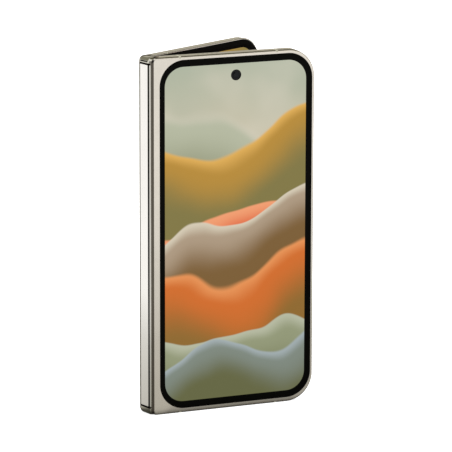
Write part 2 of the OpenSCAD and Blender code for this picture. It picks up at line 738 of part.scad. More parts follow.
// Pouch cell with a stepped sealed edge
module pouch(x0, z0, x1, z1) {
    plate(x0, z0, x1, z1, 1.5, part_w0, part_w1);
    brick(x0 + 2, mid_w1 + 0.3, z1 - 0.2, x1 - 2, mid_w1 + 0.9, z1 + 3);
}

module main_board() rear_side() color("#1f4a35") {
    difference() {
        brick(part_x0, board_w0, 102.5, island_x0 - 1.5, board_w0 + board_t, part_z1);
        across(15, 148, 1, 0, half_t);
    }
    for (z = [106, 127]) brick(part_x0 + 1.5, chip_w0, z, island_x0 - 3, chip_w1, z + 18);
}

module charging_coil() rear_side() color("#a5673a") translate([26.3, ledge_w - ledge_t - 0.15, 55])
    rotate([-90, 0, 0]) for (i = [0:5]) rotate_extrude() translate([8 + 1.25 * i, 0])
        square([0.9, 0.25]);

module slab_port(grow, depth) translate([0, 0, -eps]) linear_extrude(depth + eps) polygon(round_rect(
    port_x - port_half_w - grow, port_w - port_half_t - grow, port_x + port_half_w + grow,
    port_w + port_half_t + grow, port_half_t + grow - 0.01, 8));

module port_body(grow, more) translate([0, 0, rail_n - more]) linear_extrude(5 + more + grow - 0.3)
    polygon(round_rect(port_x - port_half_w - grow, port_w - port_half_t - grow,
        port_x + port_half_w + grow, port_w + port_half_t + grow, port_half_t + grow - 0.02, 8));

module usb_port() rear_side() color("#a9a9a6") {
    difference() {
        port_body(0.3, 0);
        translate([0, 0, 0.5]) slab_port(0, rail_n + 4.2);
    }
    brick(port_x - 3, port_w - 0.35, 0.8, port_x + 3, port_w + 0.35, rail_n + 4.8);
}

module bottom_speaker() rear_side() color("#303033")
    plate(44, rail_n + 0.8, 63, rail_n + 8, 1, part_w0, part_w1);

module magnets() color("#7d7f82") for (z = [22, 46])
    brick(half_w - 5.2, part_w0, z, half_w - 3.5, part_w0 + 1.75, z + 12);

module rear_magnets() rear_side() magnets();

inner_camera_x = 62;
inner_camera_z = body_h - 9.2;
inner_camera_r = 3.2;

module inner_camera() rear_side() color("#1c1c20")
    across(inner_camera_x, inner_camera_z, inner_camera_r, panel_w + panel_t, mid_w1);

// ---------------------------------------------------------------- front half

module front_frame() front_side() color("#d9d3c5") difference() {
    half_frame();
    // Card tray slot through the bottom rail
    sim_prism(gap, rail_n + eps);
    // Earpiece holes through the top rail
    for (i = [0:4]) translate([ear_x + ear_pitch * i, ear_w, body_h - rail_n - eps])
        cylinder(h = rail_n + 2 * eps, r = ear_r);
}
ear_x = 22.5;
ear_pitch = 2.1;
ear_w = 2;
ear_r = 0.35;

module cover_glass() front_side() color([0.04, 0.04, 0.04, 0.5])
    plate(rim_fold, rim_end, glass_x1, glass_z1, glass_r, half_t - glass_t, half_t);

module cover_display() front_side() color("#b98a62") difference() {
    plate(active_x0 - oled_edge, active_z0 - oled_edge, active_x0 + active_w + oled_edge,
        active_z0 + active_h + oled_edge, glass_r - 1, ledge_w, half_t - glass_t);
    across(hole_x, hole_z, hole_d / 2, 0, half_t);
}

module cover_camera() front_side() color("#1c1c20") {
    brick(hole_x - 3.3, mid_w1 + 0.8, hole_z - 3.3, hole_x + 3.3, ledge_w - 0.6, hole_z + 3.3);
    across(hole_x, hole_z, hole_d / 2 - 0.2, ledge_w - 0.7, half_t - glass_t - 0.05);
}

module front_battery() front_side() color("#2b2d30") pouch(part_x0, 22, 66, 118);

module front_board() front_side() color("#1f4a35") {
    brick(part_x0, board_w0, 123, hole_x - 5, board_w0 + board_t, 143);
    brick(part_x0 + 1.5, chip_w0, 127, 30, chip_w1, 141);
}

module earpiece() front_side() color("#303033")
    plate(19, body_h - 11, 34, part_z1, 1, board_w0, part_w1);

module vibration_motor() front_side() color("#8c8c89")
    brick(22, board_w0, 6, 38, part_w1, 14);

module front_magnets() front_side() magnets();

module sim_prism(grow, top) translate([0, 0, -eps]) linear_extrude(top + eps) polygon(round_rect(
    sim_x0 - grow, sim_w - sim_t / 2 - grow, sim_x0 + sim_len + grow, sim_w + sim_t / 2 + grow,
    sim_t / 2 + grow - 0.01, 8));

// Card tray: face flush with the bottom rail, and an open carrier behind it
module sim_tray() front_side() color("#d2ccbd") difference() {
    union() {
        intersection() {
            sim_prism(0, rail_n);
            brick(0, 0, 0, half_w, half_t, rail_n);
        }
        brick(sim_x0 + 0.6, sim_w - 0.4, 1, sim_x0 + sim_len - 0.6, sim_w + 0.4, sim_depth);
    }
    brick(sim_x0 + 1.6, sim_w - 0.15, rail_n + 1, sim_x0 + sim_len - 1.6, sim_w + eps,
        sim_depth - 1);
    translate([sim_x0 + 1.6, sim_w, -eps]) cylinder(h = 1.4, r = 0.35);
}

// ---------------------------------------------------------------- the assembly

spine_cover();
spine_end_caps();
hinge_blocks();
hinge_shafts();
pinion_pins();
sync_pinion_rear();
sync_pinion_front();
friction_washers();
spine_screws();
rear_frame();
rear_wings();
rear_sync_arm();
rear_wing_screws();
rear_antenna_breaks();
back_glass();
camera_island();
camera_windows();
camera_lenses();
camera_barrels();
flash_lens();
rear_battery();
main_board();
charging_coil();
usb_port();
bottom_speaker();
rear_magnets();
inner_display_rear();
inner_bezel_rear();
inner_camera();
power_button();
volume_rocker();
button_switches();
front_frame();
front_wings();
front_sync_arm();
front_wing_screws();
front_antenna_breaks();
cover_glass();
cover_display();
cover_camera();
front_battery();
front_board();
earpiece();
vibration_motor();
front_magnets();
inner_display_front();
inner_bezel_front();
sim_tray();
fold_strip();
hinge_flex();
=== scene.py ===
"""Looks of a book-style folding phone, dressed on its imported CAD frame.

Lengths below are millimetres unless a comment says otherwise, and points are turned into metres
where a mesh is made. Each half is drawn flat as in the CAD: u runs from the fold line to the far
rail, w from the inner display's side to the outer face, and z along the hinge.
"""
import json
import math

import bmesh
import bpy
from mathutils import Matrix, Vector


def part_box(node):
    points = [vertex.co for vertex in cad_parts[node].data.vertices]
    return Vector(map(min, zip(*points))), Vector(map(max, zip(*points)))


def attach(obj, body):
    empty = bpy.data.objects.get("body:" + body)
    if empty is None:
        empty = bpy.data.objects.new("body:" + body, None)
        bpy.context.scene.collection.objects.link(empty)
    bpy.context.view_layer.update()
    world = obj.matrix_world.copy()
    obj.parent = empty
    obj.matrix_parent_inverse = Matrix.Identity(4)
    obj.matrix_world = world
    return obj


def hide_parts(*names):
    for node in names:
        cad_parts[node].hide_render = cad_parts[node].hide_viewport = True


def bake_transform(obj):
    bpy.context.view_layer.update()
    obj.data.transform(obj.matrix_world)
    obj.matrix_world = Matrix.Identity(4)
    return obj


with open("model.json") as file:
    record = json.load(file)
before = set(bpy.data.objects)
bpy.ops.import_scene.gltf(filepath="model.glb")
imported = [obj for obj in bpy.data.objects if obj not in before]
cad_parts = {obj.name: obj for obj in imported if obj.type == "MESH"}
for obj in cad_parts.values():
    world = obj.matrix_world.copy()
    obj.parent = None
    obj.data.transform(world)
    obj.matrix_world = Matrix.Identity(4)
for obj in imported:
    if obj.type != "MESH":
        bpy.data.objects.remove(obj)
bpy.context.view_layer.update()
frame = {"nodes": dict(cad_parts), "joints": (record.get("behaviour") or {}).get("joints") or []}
MM = 0.001


def joint(name):
    return next(j for j in frame["joints"] if j["name"] == name)


# ---------------- dimensions
FOLD = math.radians(-joint("rear_fold")["range_deg"][0])
AXIS_U = joint("rear_fold")["pos_m"][1] / MM
AXIS_W = 1.3
BODY_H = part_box("rear_frame")[1].z / MM
HALF_W = 75.1
HALF_T = 5.1
CORNER_R = 12.2

# Rounding of the rails' outer edge and bevel of the lip: across them and through the thickness.
RIM_EDGE = (0.8, 1.4)
LIP = (1.2, 0.6)
INNER_EDGE = 0.35
LIP_R = 0.2
FOLD_CORNER = 2.2
TOP_BREAKS = (13.2, 57.4)
SIDE_BREAK = BODY_H - 40.3
BUTTON_W = 2.4
BUTTON_T = 1.9
BUTTON_CROWN = 0.3
BUTTON_PROUD = 0.25
# How far a button's flange reaches past it, across and along the rail.
FLANGE = (0.5, 0.4)
BUTTONS = {"power_button": (104, 10), "volume_rocker": (82, 21)}
WING_SLOTS = ((12, 14), (46, 14), (69.6, 16), (95.2, 14), (129.2, 14))
FLEX_SLOTS = (30, 113.2)
BOTTOM_HOLES = [45 + 2.2 * i for i in range(5)] + [24, 26.2]
EARPIECE_HOLES = [22.5 + 2.1 * i for i in range(5)]

GLASS = (3.85, 1.55, 73.75, 153.65)
GLASS_R = 10.8
GLASS_SEAT = 4.27
GLASS_EDGE = 0.45
FRONT_GLASS = (3.85, 2.1, 73.75, 153.65)
FRONT_GLASS_R = 11.1
LIT = (6.15, 5.2, 70.9, 150.7)
LIT_R = 8.4
HOLE = (38.55, 145.75)
HOLE_R = 2.35

PANEL_W = 0.25
PANEL_BACK = 0.85
PANEL_X0 = 6.0
PANEL_INSET = 0.6
INNER_BORDER = 4.1
INNER_CAMERA = (62.0, BODY_H - 9.2)
STRIP_T = 0.3
STRIP_STEPS = 28
FLEX_X = 8.3
FLEX_Z = (30, BODY_H - 42)
FLEX_LENGTH = 12
FLEX_W = 1.75
FLEX_T = 0.15
# Steps along a circuit from the fold line, and those over which its dip of 1 mm fades.
FLEX_STEPS = 18
FLEX_DIP_STEPS = 13.5

SPINE_X = -2.75
SPINE_HALF_W = 4.15
SPINE_R = 1.45
SPINE_WALL = 0.5
SPINE_FREE_X = -1.5
# Grooves of the spine: inner and outer edge across it, and depth.
SEAM = (2.72, 3.56, 0.35)
# End caps: foot, direction, height and rounding.
CAPS = {"bottom": (0.0, 1, 3.0, 2.0), "top": (BODY_H, -1, 2.3, 2.25)}
CAP_GAP = 0.85
STRIP_END = 1.75

ISLAND = (31.9, 114.6, 69.9, 149.6)
ISLAND_R = 9.0
ISLAND_TOP = 7.4
WINDOW_X = (36.3, 65.5)
WINDOW_Z = (139.7, 124.5)
WINDOW_R = 5.5
LENSES = ((41.8, 139.7), (60.0, 139.7), (60.0, 124.5))
FLASH = (41.8, 124.5)

# Matrices of the halves' own frames. The front half's frame has -w along its y.
REAR = (Matrix.Translation((0, AXIS_U * MM, 0)) @ Matrix.Rotation(FOLD, 4, "Z")
        @ Matrix.Translation((-AXIS_U * MM, -AXIS_W * MM, 0)))
FRONT = (Matrix.Translation((0, -AXIS_U * MM, 0)) @ Matrix.Rotation(-FOLD, 4, "Z")
         @ Matrix.Translation((-AXIS_U * MM, AXIS_W * MM, 0)))
PLACES = {"rear_half": (REAR, 1), "front_half": (FRONT, -1), "spine": (Matrix.Identity(4), 1)}


def add_object(name, data):
    item = bpy.data.objects.new(name, data)
    bpy.context.scene.collection.objects.link(item)
    return item


def to_mesh(name, bm, materials=()):
    mesh = bpy.data.meshes.new(name)
    bm.to_mesh(mesh)
    bm.free()
    for material in materials:
        mesh.materials.append(material)
    return mesh


# ---------------- camera
def make_camera():
    """The photograph's long lens, 12.5 degrees above the horizon and 36.4 to the left."""
    data = bpy.data.cameras.new("camera")
    data.sensor_width = 36
    data.lens = 275.6
    data.clip_end = 20
    camera = add_object("camera", data)
    turn = Matrix.Rotation(math.radians(-36.4005), 4, "Z")
    tilt = Matrix.Rotation(math.radians(90 - 12.4658), 4, "X")
    roll = Matrix.Rotation(math.radians(0.1425), 4, "Z")
    camera.matrix_world = Matrix.Translation((-0.825375, -1.174279, 0.399518)) @ turn @ tilt @ roll
    bpy.context.scene.camera = camera


# ---------------- outlines
def arc(cx, cy, r, a0, a1, n):
    """n + 1 points of an arc, with the angles in degrees."""
    turns = [math.radians(a0 + (a1 - a0) * i / n) for i in range(n + 1)]
    return [(cx + r * math.cos(t), cy + r * math.sin(t)) for t in turns]


def round_rect(x0, y0, x1, y1, r, n=16):
    """A rectangle with round corners, starting at its upper right corner's right end."""
    return (arc(x1 - r, y1 - r, r, 0, 90, n) + arc(x0 + r, y1 - r, r, 90, 180, n)
            + arc(x0 + r, y0 + r, r, 180, 270, n) + arc(x1 - r, y0 + r, r, 270, 360, n))


def inset_rect(box, inset, r, n=16):
    x0, y0, x1, y1 = box
    return round_rect(x0 + inset, y0 + inset, x1 - inset, y1 - inset, max(r - inset, 0.05), n)


def half_plan(inset, x0, n=20):
    """A half's outline set in from its rails, square on the fold side."""
    r = CORNER_R - inset
    return ([(x0, inset)] + arc(HALF_W - CORNER_R, CORNER_R, r, -90, 0, n)
            + arc(HALF_W - CORNER_R, BODY_H - CORNER_R, r, 0, 90, n) + [(x0, BODY_H - inset)])


def circle(x, y, r, n=48):
    return [(x + r * math.cos(2 * math.pi * i / n), y + r * math.sin(2 * math.pi * i / n))
            for i in range(n)]


# ---------------- mesh building
class Shape:
    """A mesh under construction in millimetres, as (u, w, z) points."""

    def __init__(self):
        self.bm = bmesh.new()

    def points(self, points):
        return [self.bm.verts.new(p) for p in points]

    def ring(self, outline, w):
        """A ring from an outline in u and z."""
        return self.points((x, w, z) for x, z in outline)

    def level(self, outline, z):
        """A ring from an outline in u and w."""
        return self.points((x, w, z) for x, w in outline)

    def side(self, outline, x):
        """A ring from an outline in w and z."""
        return self.points((x, w, z) for w, z in outline)

    def rolled(self, box, r, edge, top, n):
        """Rings of a rolled edge, up to the flat face at top."""
        return [self.ring(inset_rect(box, inset, r), w)
                for inset, w in arc(edge, top - edge, edge, 180, 90, n)]

    def wall(self, a, b, material=0, closed=True):
        """Quads between two rings of as many points."""
        last = len(a) if closed else len(a) - 1
        for i in range(last):
            j = (i + 1) % len(a)
            face = self.bm.faces.new((a[i], a[j], b[j], b[i]))
            face.material_index = material

    def walls(self, rings, material=0, closed=True):
        for a, b in zip(rings, rings[1:]):
            self.wall(a, b, material, closed)

    def cap(self, ring, material=0):
        self.bm.faces.new(ring).material_index = material

    def solid(self, rings, material=0):
        """Walls through all the rings, closed by the first and the last."""
        self.walls(rings, material)
        self.cap(rings[0], material)
        self.cap(rings[-1], material)
        return self

    def fill(self, rings, material=0):
        """A flat face between an outer ring and the holes in it."""
        edges = []
        for ring in rings:
            for i, v in enumerate(ring):
                pair = (v, ring[(i + 1) % len(ring)])
                edges.append(self.bm.edges.get(pair) or self.bm.edges.new(pair))
        made = bmesh.ops.triangle_fill(self.bm, use_beauty=True, use_dissolve=False, edges=edges)
        for item in made["geom"]:
            if isinstance(item, bmesh.types.BMFace):
                item.material_index = material

    def lathe(self, centre, w0, profile, materials, n):
        """A turned form about the thickness axis: profile is (radius, height above w0)."""
        rings = [self.ring(circle(centre[0], centre[1], r, n), w0 + h) for r, h in profile]
        for i, (a, b) in enumerate(zip(rings, rings[1:])):
            self.wall(a, b, materials[min(i, len(materials) - 1)])
        self.cap(rings[-1], materials[-1])
        self.cap(rings[0], materials[0])


def loose(shape):
    """An object that holds a shape in millimetres, for the booleans."""
    bmesh.ops.recalc_face_normals(shape.bm, faces=shape.bm.faces)
    return add_object("loose", to_mesh("loose", shape.bm))


def settled(item):
    """The mesh of an object with its modifiers applied."""
    bpy.context.view_layer.update()
    return bpy.data.meshes.new_from_object(
        item.evaluated_get(bpy.context.evaluated_depsgraph_get()))


def carve(blank, steps):
    """Cuts and joins other shapes with a blank one, in order."""
    items = [loose(blank)]
    for kind, shape in steps:
        items.append(loose(shape))
        step = items[0].modifiers.new(kind, "BOOLEAN")
        step.operation, step.solver, step.object = kind, "EXACT", items[-1]
    mesh = settled(items[0])
    for item in items:
        bpy.data.objects.remove(item)
    made = Shape()
    made.bm.from_mesh(mesh)
    bmesh.ops.remove_doubles(made.bm, verts=made.bm.verts, dist=1e-4)
    bmesh.ops.dissolve_degenerate(made.bm, dist=1e-4, edges=made.bm.edges)
    return made


def finished(name, bm, materials, uv, sharp):
    """The mesh of a form in metres with its materials' keys, smooth up to a turn in degrees."""
    bmesh.ops.recalc_face_normals(bm, faces=bm.faces)
    if uv:
        layer = bm.loops.layers.uv.new("flat")
        for face in bm.faces:
            for loop in face.loops:
                loop[layer].uv = uv(loop.vert)
    limit = math.radians(sharp)
    for edge in bm.edges:
        edge.smooth = edge.is_manifold and edge.calc_face_angle(0) < limit
    for face in bm.faces:
        face.smooth = True
    return to_mesh(name, bm, [MATERIALS[key] for key in materials])


def make_piece(shape, name, body, materials, stands_for=(), sharp=32, uv=None, flat=False):
    """Turns a shape into a piece that rides on its body."""
    place, side = PLACES[body]
    for v in shape.bm.verts:
        v.co = (v.co.x * MM, v.co.y * MM * side, v.co.z * MM)
    piece = add_object(name, finished(name, shape.bm, materials, uv, sharp))
    if flat:
        piece.modifiers.new("even", "WEIGHTED_NORMAL").keep_sharp = True
        even = settled(piece)
        piece.modifiers.clear()
        piece.data = even
    piece.matrix_world = place
    if stands_for:
        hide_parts(*stands_for)
    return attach(piece, body)


# ---------------- materials
class Tree:
    """A node tree, with short calls for the nodes used here."""

    def __init__(self, tree):
        self.nodes, self.links = tree.nodes, tree.links

    def put(self, socket, value):
        if isinstance(value, bpy.types.NodeSocket):
            self.links.new(value, socket)
        elif value is not None:
            socket.default_value = value

    def node(self, kind, *values, **named):
        """A new node, with values or links on its inputs in order or by name."""
        node = self.nodes.new(kind)
        for socket, value in zip(node.inputs, values):
            self.put(socket, value)
        for name, value in named.items():
            self.put(node.inputs[name.replace("_", " ")], value)
        return node

    def math(self, kind, a, b=None, c=None):
        node = self.nodes.new("ShaderNodeMath")
        node.operation = kind
        for socket, value in zip(node.inputs, (a, b, c)):
            self.put(socket, value)
        return node.outputs[0]

    def remap(self, value, low, high, to_low=0.0, to_high=1.0, smooth=False):
        node = self.nodes.new("ShaderNodeMapRange")
        node.interpolation_type = "SMOOTHSTEP" if smooth else "LINEAR"
        for socket, item in zip(node.inputs, (value, low, high, to_low, to_high)):
            self.put(socket, item)
        return node.outputs[0]

    def mix(self, factor, a, b, kind="MIX"):
        node = self.nodes.new("ShaderNodeMix")
        node.data_type, node.blend_type = "RGBA", kind
        self.put(node.inputs["Factor"], factor)
        self.put(node.inputs[6], a if isinstance(a, bpy.types.NodeSocket) else (*a, 1))
        self.put(node.inputs[7], b if isinstance(b, bpy.types.NodeSocket) else (*b, 1))
        return node.outputs[2]

    def vector(self, kind, a, b=None):
        node = self.nodes.new("ShaderNodeVectorMath")
        node.operation = kind
        for socket, value in zip(node.inputs, (a, b)):
            self.put(socket, value)
        return node.outputs["Value" if kind in ("DOT_PRODUCT", "LENGTH") else "Vector"]

    def tone(self, direction, lobes, base):
        """The tone that a polished surface meets in a direction."""
        tone = base
        for azimuth, elevation, full, faded, level in lobes:
            near = self.vector("DOT_PRODUCT", direction, compass(azimuth, elevation))
            share = self.remap(near, math.cos(math.radians(faded)),
                               math.cos(math.radians(full)), smooth=True)
            tone = self.mix(share, tone, level)
        return tone

    def emission(self, colour, strength=1.0):
        return self.node("ShaderNodeEmission", Color=colour, Strength=strength).outputs[0]

    def choose(self, factor, a, b):
        return self.node("ShaderNodeMixShader", factor, a, b).outputs[0]

    def split(self, point):
        return self.node("ShaderNodeSeparateXYZ", point).outputs[:2]

    def join(self, x, y):
        return self.node("ShaderNodeCombineXYZ", x, y).outputs[0]


class Graph(Tree):
    """A material's node tree."""

    def __init__(self, name):
        self.material = bpy.data.materials.new(name)
        self.material.use_nodes = True
        super().__init__(self.material.node_tree)
        self.shader = self.nodes["Principled BSDF"]

    def set(self, **values):
        for key, value in values.items():
            self.put(self.shader.inputs[key.replace("_", " ")], value)
        return self

    def object_point(self):
        return self.nodes.new("ShaderNodeTexCoord").outputs["Object"]

    def flat_point(self):
        return self.split(self.node("ShaderNodeUVMap").outputs["UV"])

    def noise(self, scale, detail=3, rough=0.5, point=None, stretch=None):
        point = point or self.object_point()
        if stretch:
            point = self.node("ShaderNodeMapping", Vector=point, Scale=stretch).outputs[0]
        return self.node("ShaderNodeTexNoise", Scale=scale, Detail=detail, Roughness=rough,
                         Vector=point).outputs["Fac"]

    def bump(self, height, strength, distance):
        node = self.node("ShaderNodeBump", Strength=strength, Distance=distance, Height=height)
        return self.set(Normal=node.outputs[0])


def linear(r, g, b):
    """A screen colour out of 255, as the shader's linear values."""
    parts = [c / 255 for c in (r, g, b)]
    return tuple(p / 12.92 if p <= 0.04045 else ((p + 0.055) / 1.055) ** 2.4 for p in parts)


def shade(colour, factor):
    return tuple(c * factor for c in colour)


# Size of the blasted grain of metal.
GRAIN = 0.12


def metal(name, colour, rough, grain=0.05):
    """Anodised or polished metal with a fine blasted grain and slightly uneven tone."""
    g = Graph(name)
    tone = g.remap(g.noise(45, 2), 0.3, 0.7)
    g.set(Metallic=1.0, Base_Color=g.mix(tone, shade(colour, 0.95), colour))
    g.set(Roughness=g.remap(g.noise(700, 4), 0.3, 0.7, rough * 0.85, rough * 1.15))
    return g.bump(g.noise(1 / (GRAIN * MM), 2), grain, 0.00002).material


def steel(name, colour, rough, along=(1, 1, 0.05)):
    """Machined steel with tool marks drawn out along one axis."""
    g = Graph(name)
    marks = g.noise(9000, 3, 0.6, stretch=along)
    g.set(Metallic=1.0, Base_Color=g.mix(marks, shade(colour, 0.75), colour))
    g.set(Roughness=g.remap(marks, 0.3, 0.7, rough, rough + 0.15))
    return g.bump(marks, 0.15, 0.00002).material


def plastic(name, colour, rough, spread=0.12, scale=5000, specular=0.5):
    g = Graph(name)
    tone = g.noise(scale, 3)
    g.set(Specular_IOR_Level=specular)
    g.set(Base_Color=g.mix(tone, shade(colour, 1 - spread), colour))
    g.set(Roughness=g.remap(tone, 0.3, 0.7, rough, rough + 0.1))
    return g.bump(tone, 0.12, 0.00002).material


def black_glass(name, colour, specular):
    """Printed black border under coated glass, with faint unevenness in its polish."""
    g = Graph(name)
    film = g.noise(60, 4, 0.6)
    g.set(Base_Color=g.mix(film, colour, shade(colour, 1.6)), Specular_IOR_Level=specular)
    g.set(Roughness=g.remap(film, 0.3, 0.7, 0.04, 0.1))
    return g.material


def frosted_glass(name, colour):
    """Etched back glass: satin, with a very fine mineral sparkle."""
    g = Graph(name)
    fine = g.noise(16000, 2)
    broad = g.noise(20, 2)
    tone = g.mix(g.remap(broad, 0.3, 0.7), shade(colour, 0.96), colour)
    g.set(Base_Color=g.mix(g.remap(fine, 0.45, 0.75, 0, 0.12), tone, (1, 1, 1)))
    g.set(Roughness=g.remap(fine, 0.3, 0.7, 0.3, 0.42), Metallic=0.25)
    g.set(Coat_Weight=0.25, Coat_Roughness=0.22)
    return g.bump(fine, 0.05, 0.00001).material


def lens_glass(name, deep, painted_rim_reflection, gloss=1.0):
    """Coated lens: dark, with the coating's colour towards the rim painted into the base colour by
    the viewing angle, a painted reflection.
    """
    g = Graph(name)
    weight = g.node("ShaderNodeLayerWeight", Blend=0.35)
    film = g.noise(260, 2)
    # Rim tint by the viewing angle: a painted reflection of the coating.
    tint = g.mix(g.math("MULTIPLY", weight.outputs["Facing"], film), deep, painted_rim_reflection)
    g.set(Base_Color=tint, Roughness=g.remap(film, 0.3, 0.7, 0.02, 0.06))
    g.set(Specular_IOR_Level=0.7 * gloss, Coat_Weight=gloss, Coat_Roughness=0.02)
    return g.material


# Soft hills, from the farthest to the nearest. Each has its height at the left edge, slope,
# wave height, wave length, phase, softness, then its crest, flank and foot colours and the
# depth over which they follow each other.
HILLS = (
    (130, -0.05, 7, 95, 0.6, 7, (206, 202, 184), (180, 184, 160), (152, 156, 128), 24),
    (104, 0.22, 9, 80, 2.2, 2.2, (226, 176, 88), (182, 138, 54), (128, 118, 66), 22),
    (96, -0.18, 10, 110, 4.4, 1.2, (240, 158, 112), (220, 92, 50), (188, 74, 38), 38),
    (62, 0.30, 5, 58, 0.2, 0.9, (214, 204, 182), (172, 152, 128), (122, 92, 50), 16),
    (50, 0.16, 8, 70, 1.0, 2.4, (232, 150, 88), (208, 108, 40), (142, 104, 44), 24),
    (44, -0.14, 7, 88, 3.6, 0.9, (182, 186, 162), (146, 152, 120), (108, 112, 72), 22),
    (15, 0.17, 6, 64, 5.1, 1.4, (164, 176, 180), (126, 136, 126), (100, 102, 66), 16),
)


def wallpaper(g, centre_u, scale, shift):
    """Layered soft hills in coral, amber, sage and olive, drawn from the flat coordinates."""
    u, v = g.flat_point()
    x = g.math("MULTIPLY_ADD", u, 2 * HALF_W / scale, -centre_u / scale)
    y = g.math("MULTIPLY_ADD", v, BODY_H / scale, shift)
    point = g.join(x, y)
    warp = g.noise(0.022, 2, 0.4, point=point)
    y = g.math("MULTIPLY_ADD", g.math("SUBTRACT", warp, 0.5), 26, y)
    sky = g.remap(y, 100, 165, smooth=True)
    colour = g.mix(sky, linear(206, 196, 172), linear(168, 178, 158))
    glow = g.remap(g.noise(0.03, 2, 0.4, point=point), 0.42, 0.7, 0, 0.5, True)
    colour = g.mix(glow, colour, linear(214, 208, 190))
    for height, slope, wave, length, phase, soft, crest, flank, foot, depth in HILLS:
        swell = g.math("SINE", g.math("MULTIPLY_ADD", x, 2 * math.pi / length, phase))
        ridge = g.math("MULTIPLY_ADD", x, slope, height + slope * 32)
        below = g.math("SUBTRACT", g.math("MULTIPLY_ADD", swell, wave, ridge), y)
        upper = g.mix(g.remap(below, 0, depth * 0.35, smooth=True), linear(*crest), linear(*flank))
        hill = g.mix(g.remap(below, depth * 0.3, depth * 1.3, smooth=True), upper, linear(*foot))
        colour = g.mix(g.remap(below, 0, soft, smooth=True), colour, hill)
    return colour


def lit_screen(name, centre_u, scale=1.0, shift=0.0):
    """A display that is on, dimmer when seen at a grazing angle."""
    g = Graph(name)
    facing = g.nodes.new("ShaderNodeLayerWeight").outputs["Facing"]
    strength = g.remap(facing, 0.5, 0.85, 1.0, 0.05)
    g.set(Base_Color=(0.004, 0.004, 0.004, 1), Roughness=0.06, Specular_IOR_Level=0.12)
    g.set(Emission_Color=wallpaper(g, centre_u, scale, shift), Emission_Strength=strength)
    return g.material


def circuit_board(name):
    g = Graph(name)
    cells = g.node("ShaderNodeTexBrick", Scale=420, Mortar_Size=0.012,
                   Color1=(*linear(24, 70, 48), 1), Color2=(*linear(30, 84, 58), 1),
                   Mortar=(*linear(150, 130, 70), 1), Vector=g.object_point())
    g.set(Base_Color=cells.outputs["Color"], Roughness=0.45)
    return g.bump(cells.outputs["Fac"], 0.2, 0.00003).material


def pouch_foil(name):
    g = Graph(name)
    folds = g.noise(130, 4, 0.55, stretch=(1, 1, 0.4))
    g.set(Base_Color=g.mix(folds, linear(30, 31, 34), linear(58, 60, 64)), Roughness=0.38)
    g.set(Metallic=0.4)
    return g.bump(folds, 0.4, 0.0002).material


def copper_wire(name):
    g = Graph(name)
    wave = g.node("ShaderNodeTexWave", Scale=2500, Vector=g.object_point())
    g.set(Base_Color=g.mix(wave.outputs["Fac"], linear(150, 86, 46), linear(206, 134, 84)))
    g.set(Metallic=1.0, Roughness=0.3)
    return g.bump(wave.outputs["Fac"], 0.3, 0.00005).material


MATERIALS = {
    "frame": metal("champagne_frame", linear(229, 222, 210), 0.2),
    # The lip is the frame's own metal drawn much darker: painted shade for the dark gap beside the
    # spine.
    "lip": metal("lip_painted_shade", linear(112, 106, 97), 0.2),
    "spine": metal("polished_spine", linear(248, 246, 241), 0.12, grain=0.02),
    "cap": metal("spine_cap_metal", linear(222, 219, 205), 0.1),
    "island": metal("island_metal", linear(214, 208, 194), 0.24),
    "button": metal("button_metal", linear(226, 220, 208), 0.14, grain=0.02),
    "steel": steel("machined_steel", linear(172, 172, 168), 0.26),
    "screw": steel("screw_steel", linear(120, 120, 118), 0.3, (1, 1, 1)),
    "port": steel("port_steel", linear(176, 176, 172), 0.22),
    "magnet": steel("magnet_nickel", linear(150, 150, 150), 0.2, (1, 1, 1)),
    "antenna": plastic("antenna_plastic", linear(150, 147, 130), 0.4, 0.06, specular=0.3),
    "back": frosted_glass("back_glass_finish", linear(214, 210, 194)),
    "border": black_glass("screen_border", linear(3, 3, 2), 0.035),
    "inner_border": black_glass("inner_screen_border", linear(5, 4, 3), 0.01),
    "bezel": plastic("inner_bezel_plastic", linear(6, 5, 4), 0.6, specular=0.03),
    # Near-black for the spine's grooves and the caps' keys and collars: painted shade in the
    # grooves and gaps.
    "painted_gap_shade": plastic("painted_gap_shade_black", linear(5, 4, 2), 0.8, specular=0.0),
    "module": plastic("module_black", linear(38, 38, 40), 0.5),
    "barrel": plastic("lens_barrel_black", linear(16, 16, 16), 0.45, scale=9000, specular=0.2),
    "window": black_glass("camera_window_glass", linear(14, 14, 16), 0.5),
    "lens": lens_glass("lens_coating", linear(8, 12, 22), linear(70, 96, 150)),
    "front_lens": lens_glass("front_lens_coating", linear(12, 13, 13), linear(40, 48, 56), 0.12),
    "flash": plastic("flash_diffuser", linear(244, 232, 190), 0.25, scale=3000),
    "flex": plastic("polyimide_flex", linear(190, 126, 46), 0.35, 0.2),
    "board": circuit_board("circuit_board"),
    "pouch": pouch_foil("pouch_foil"),
    "copper": copper_wire("copper_wire"),
    "cover_lit": lit_screen("cover_screen_lit", 0),
    "inner_lit": lit_screen("inner_screen_lit", HALF_W, 1.45, -10),
}

CAD_FINISH = {
    "steel": ("hinge_blocks", "hinge_shafts", "pinion_pins", "sync_pinion_rear",
              "sync_pinion_front", "friction_washers", "rear_wings", "rear_sync_arm",
              "front_wings", "front_sync_arm"),
    "screw": ("spine_screws", "rear_wing_screws", "front_wing_screws"),
    "pouch": ("rear_battery", "front_battery"),
    "board": ("main_board", "front_board"),
    "copper": ("charging_coil",),
    "port": ("usb_port", "vibration_motor"),
    "module": ("bottom_speaker", "earpiece"),
    "magnet": ("rear_magnets", "front_magnets"),
    "barrel": ("camera_barrels", "inner_camera", "cover_camera"),
    "flex": ("button_switches",),
    "button": ("sim_tray",),
}


def dress_cad_nodes():
    for finish, nodes in CAD_FINISH.items():
        for name in nodes:
            for place in frame["nodes"][name].material_slots:
                place.link = "OBJECT"
                place.material = MATERIALS[finish]


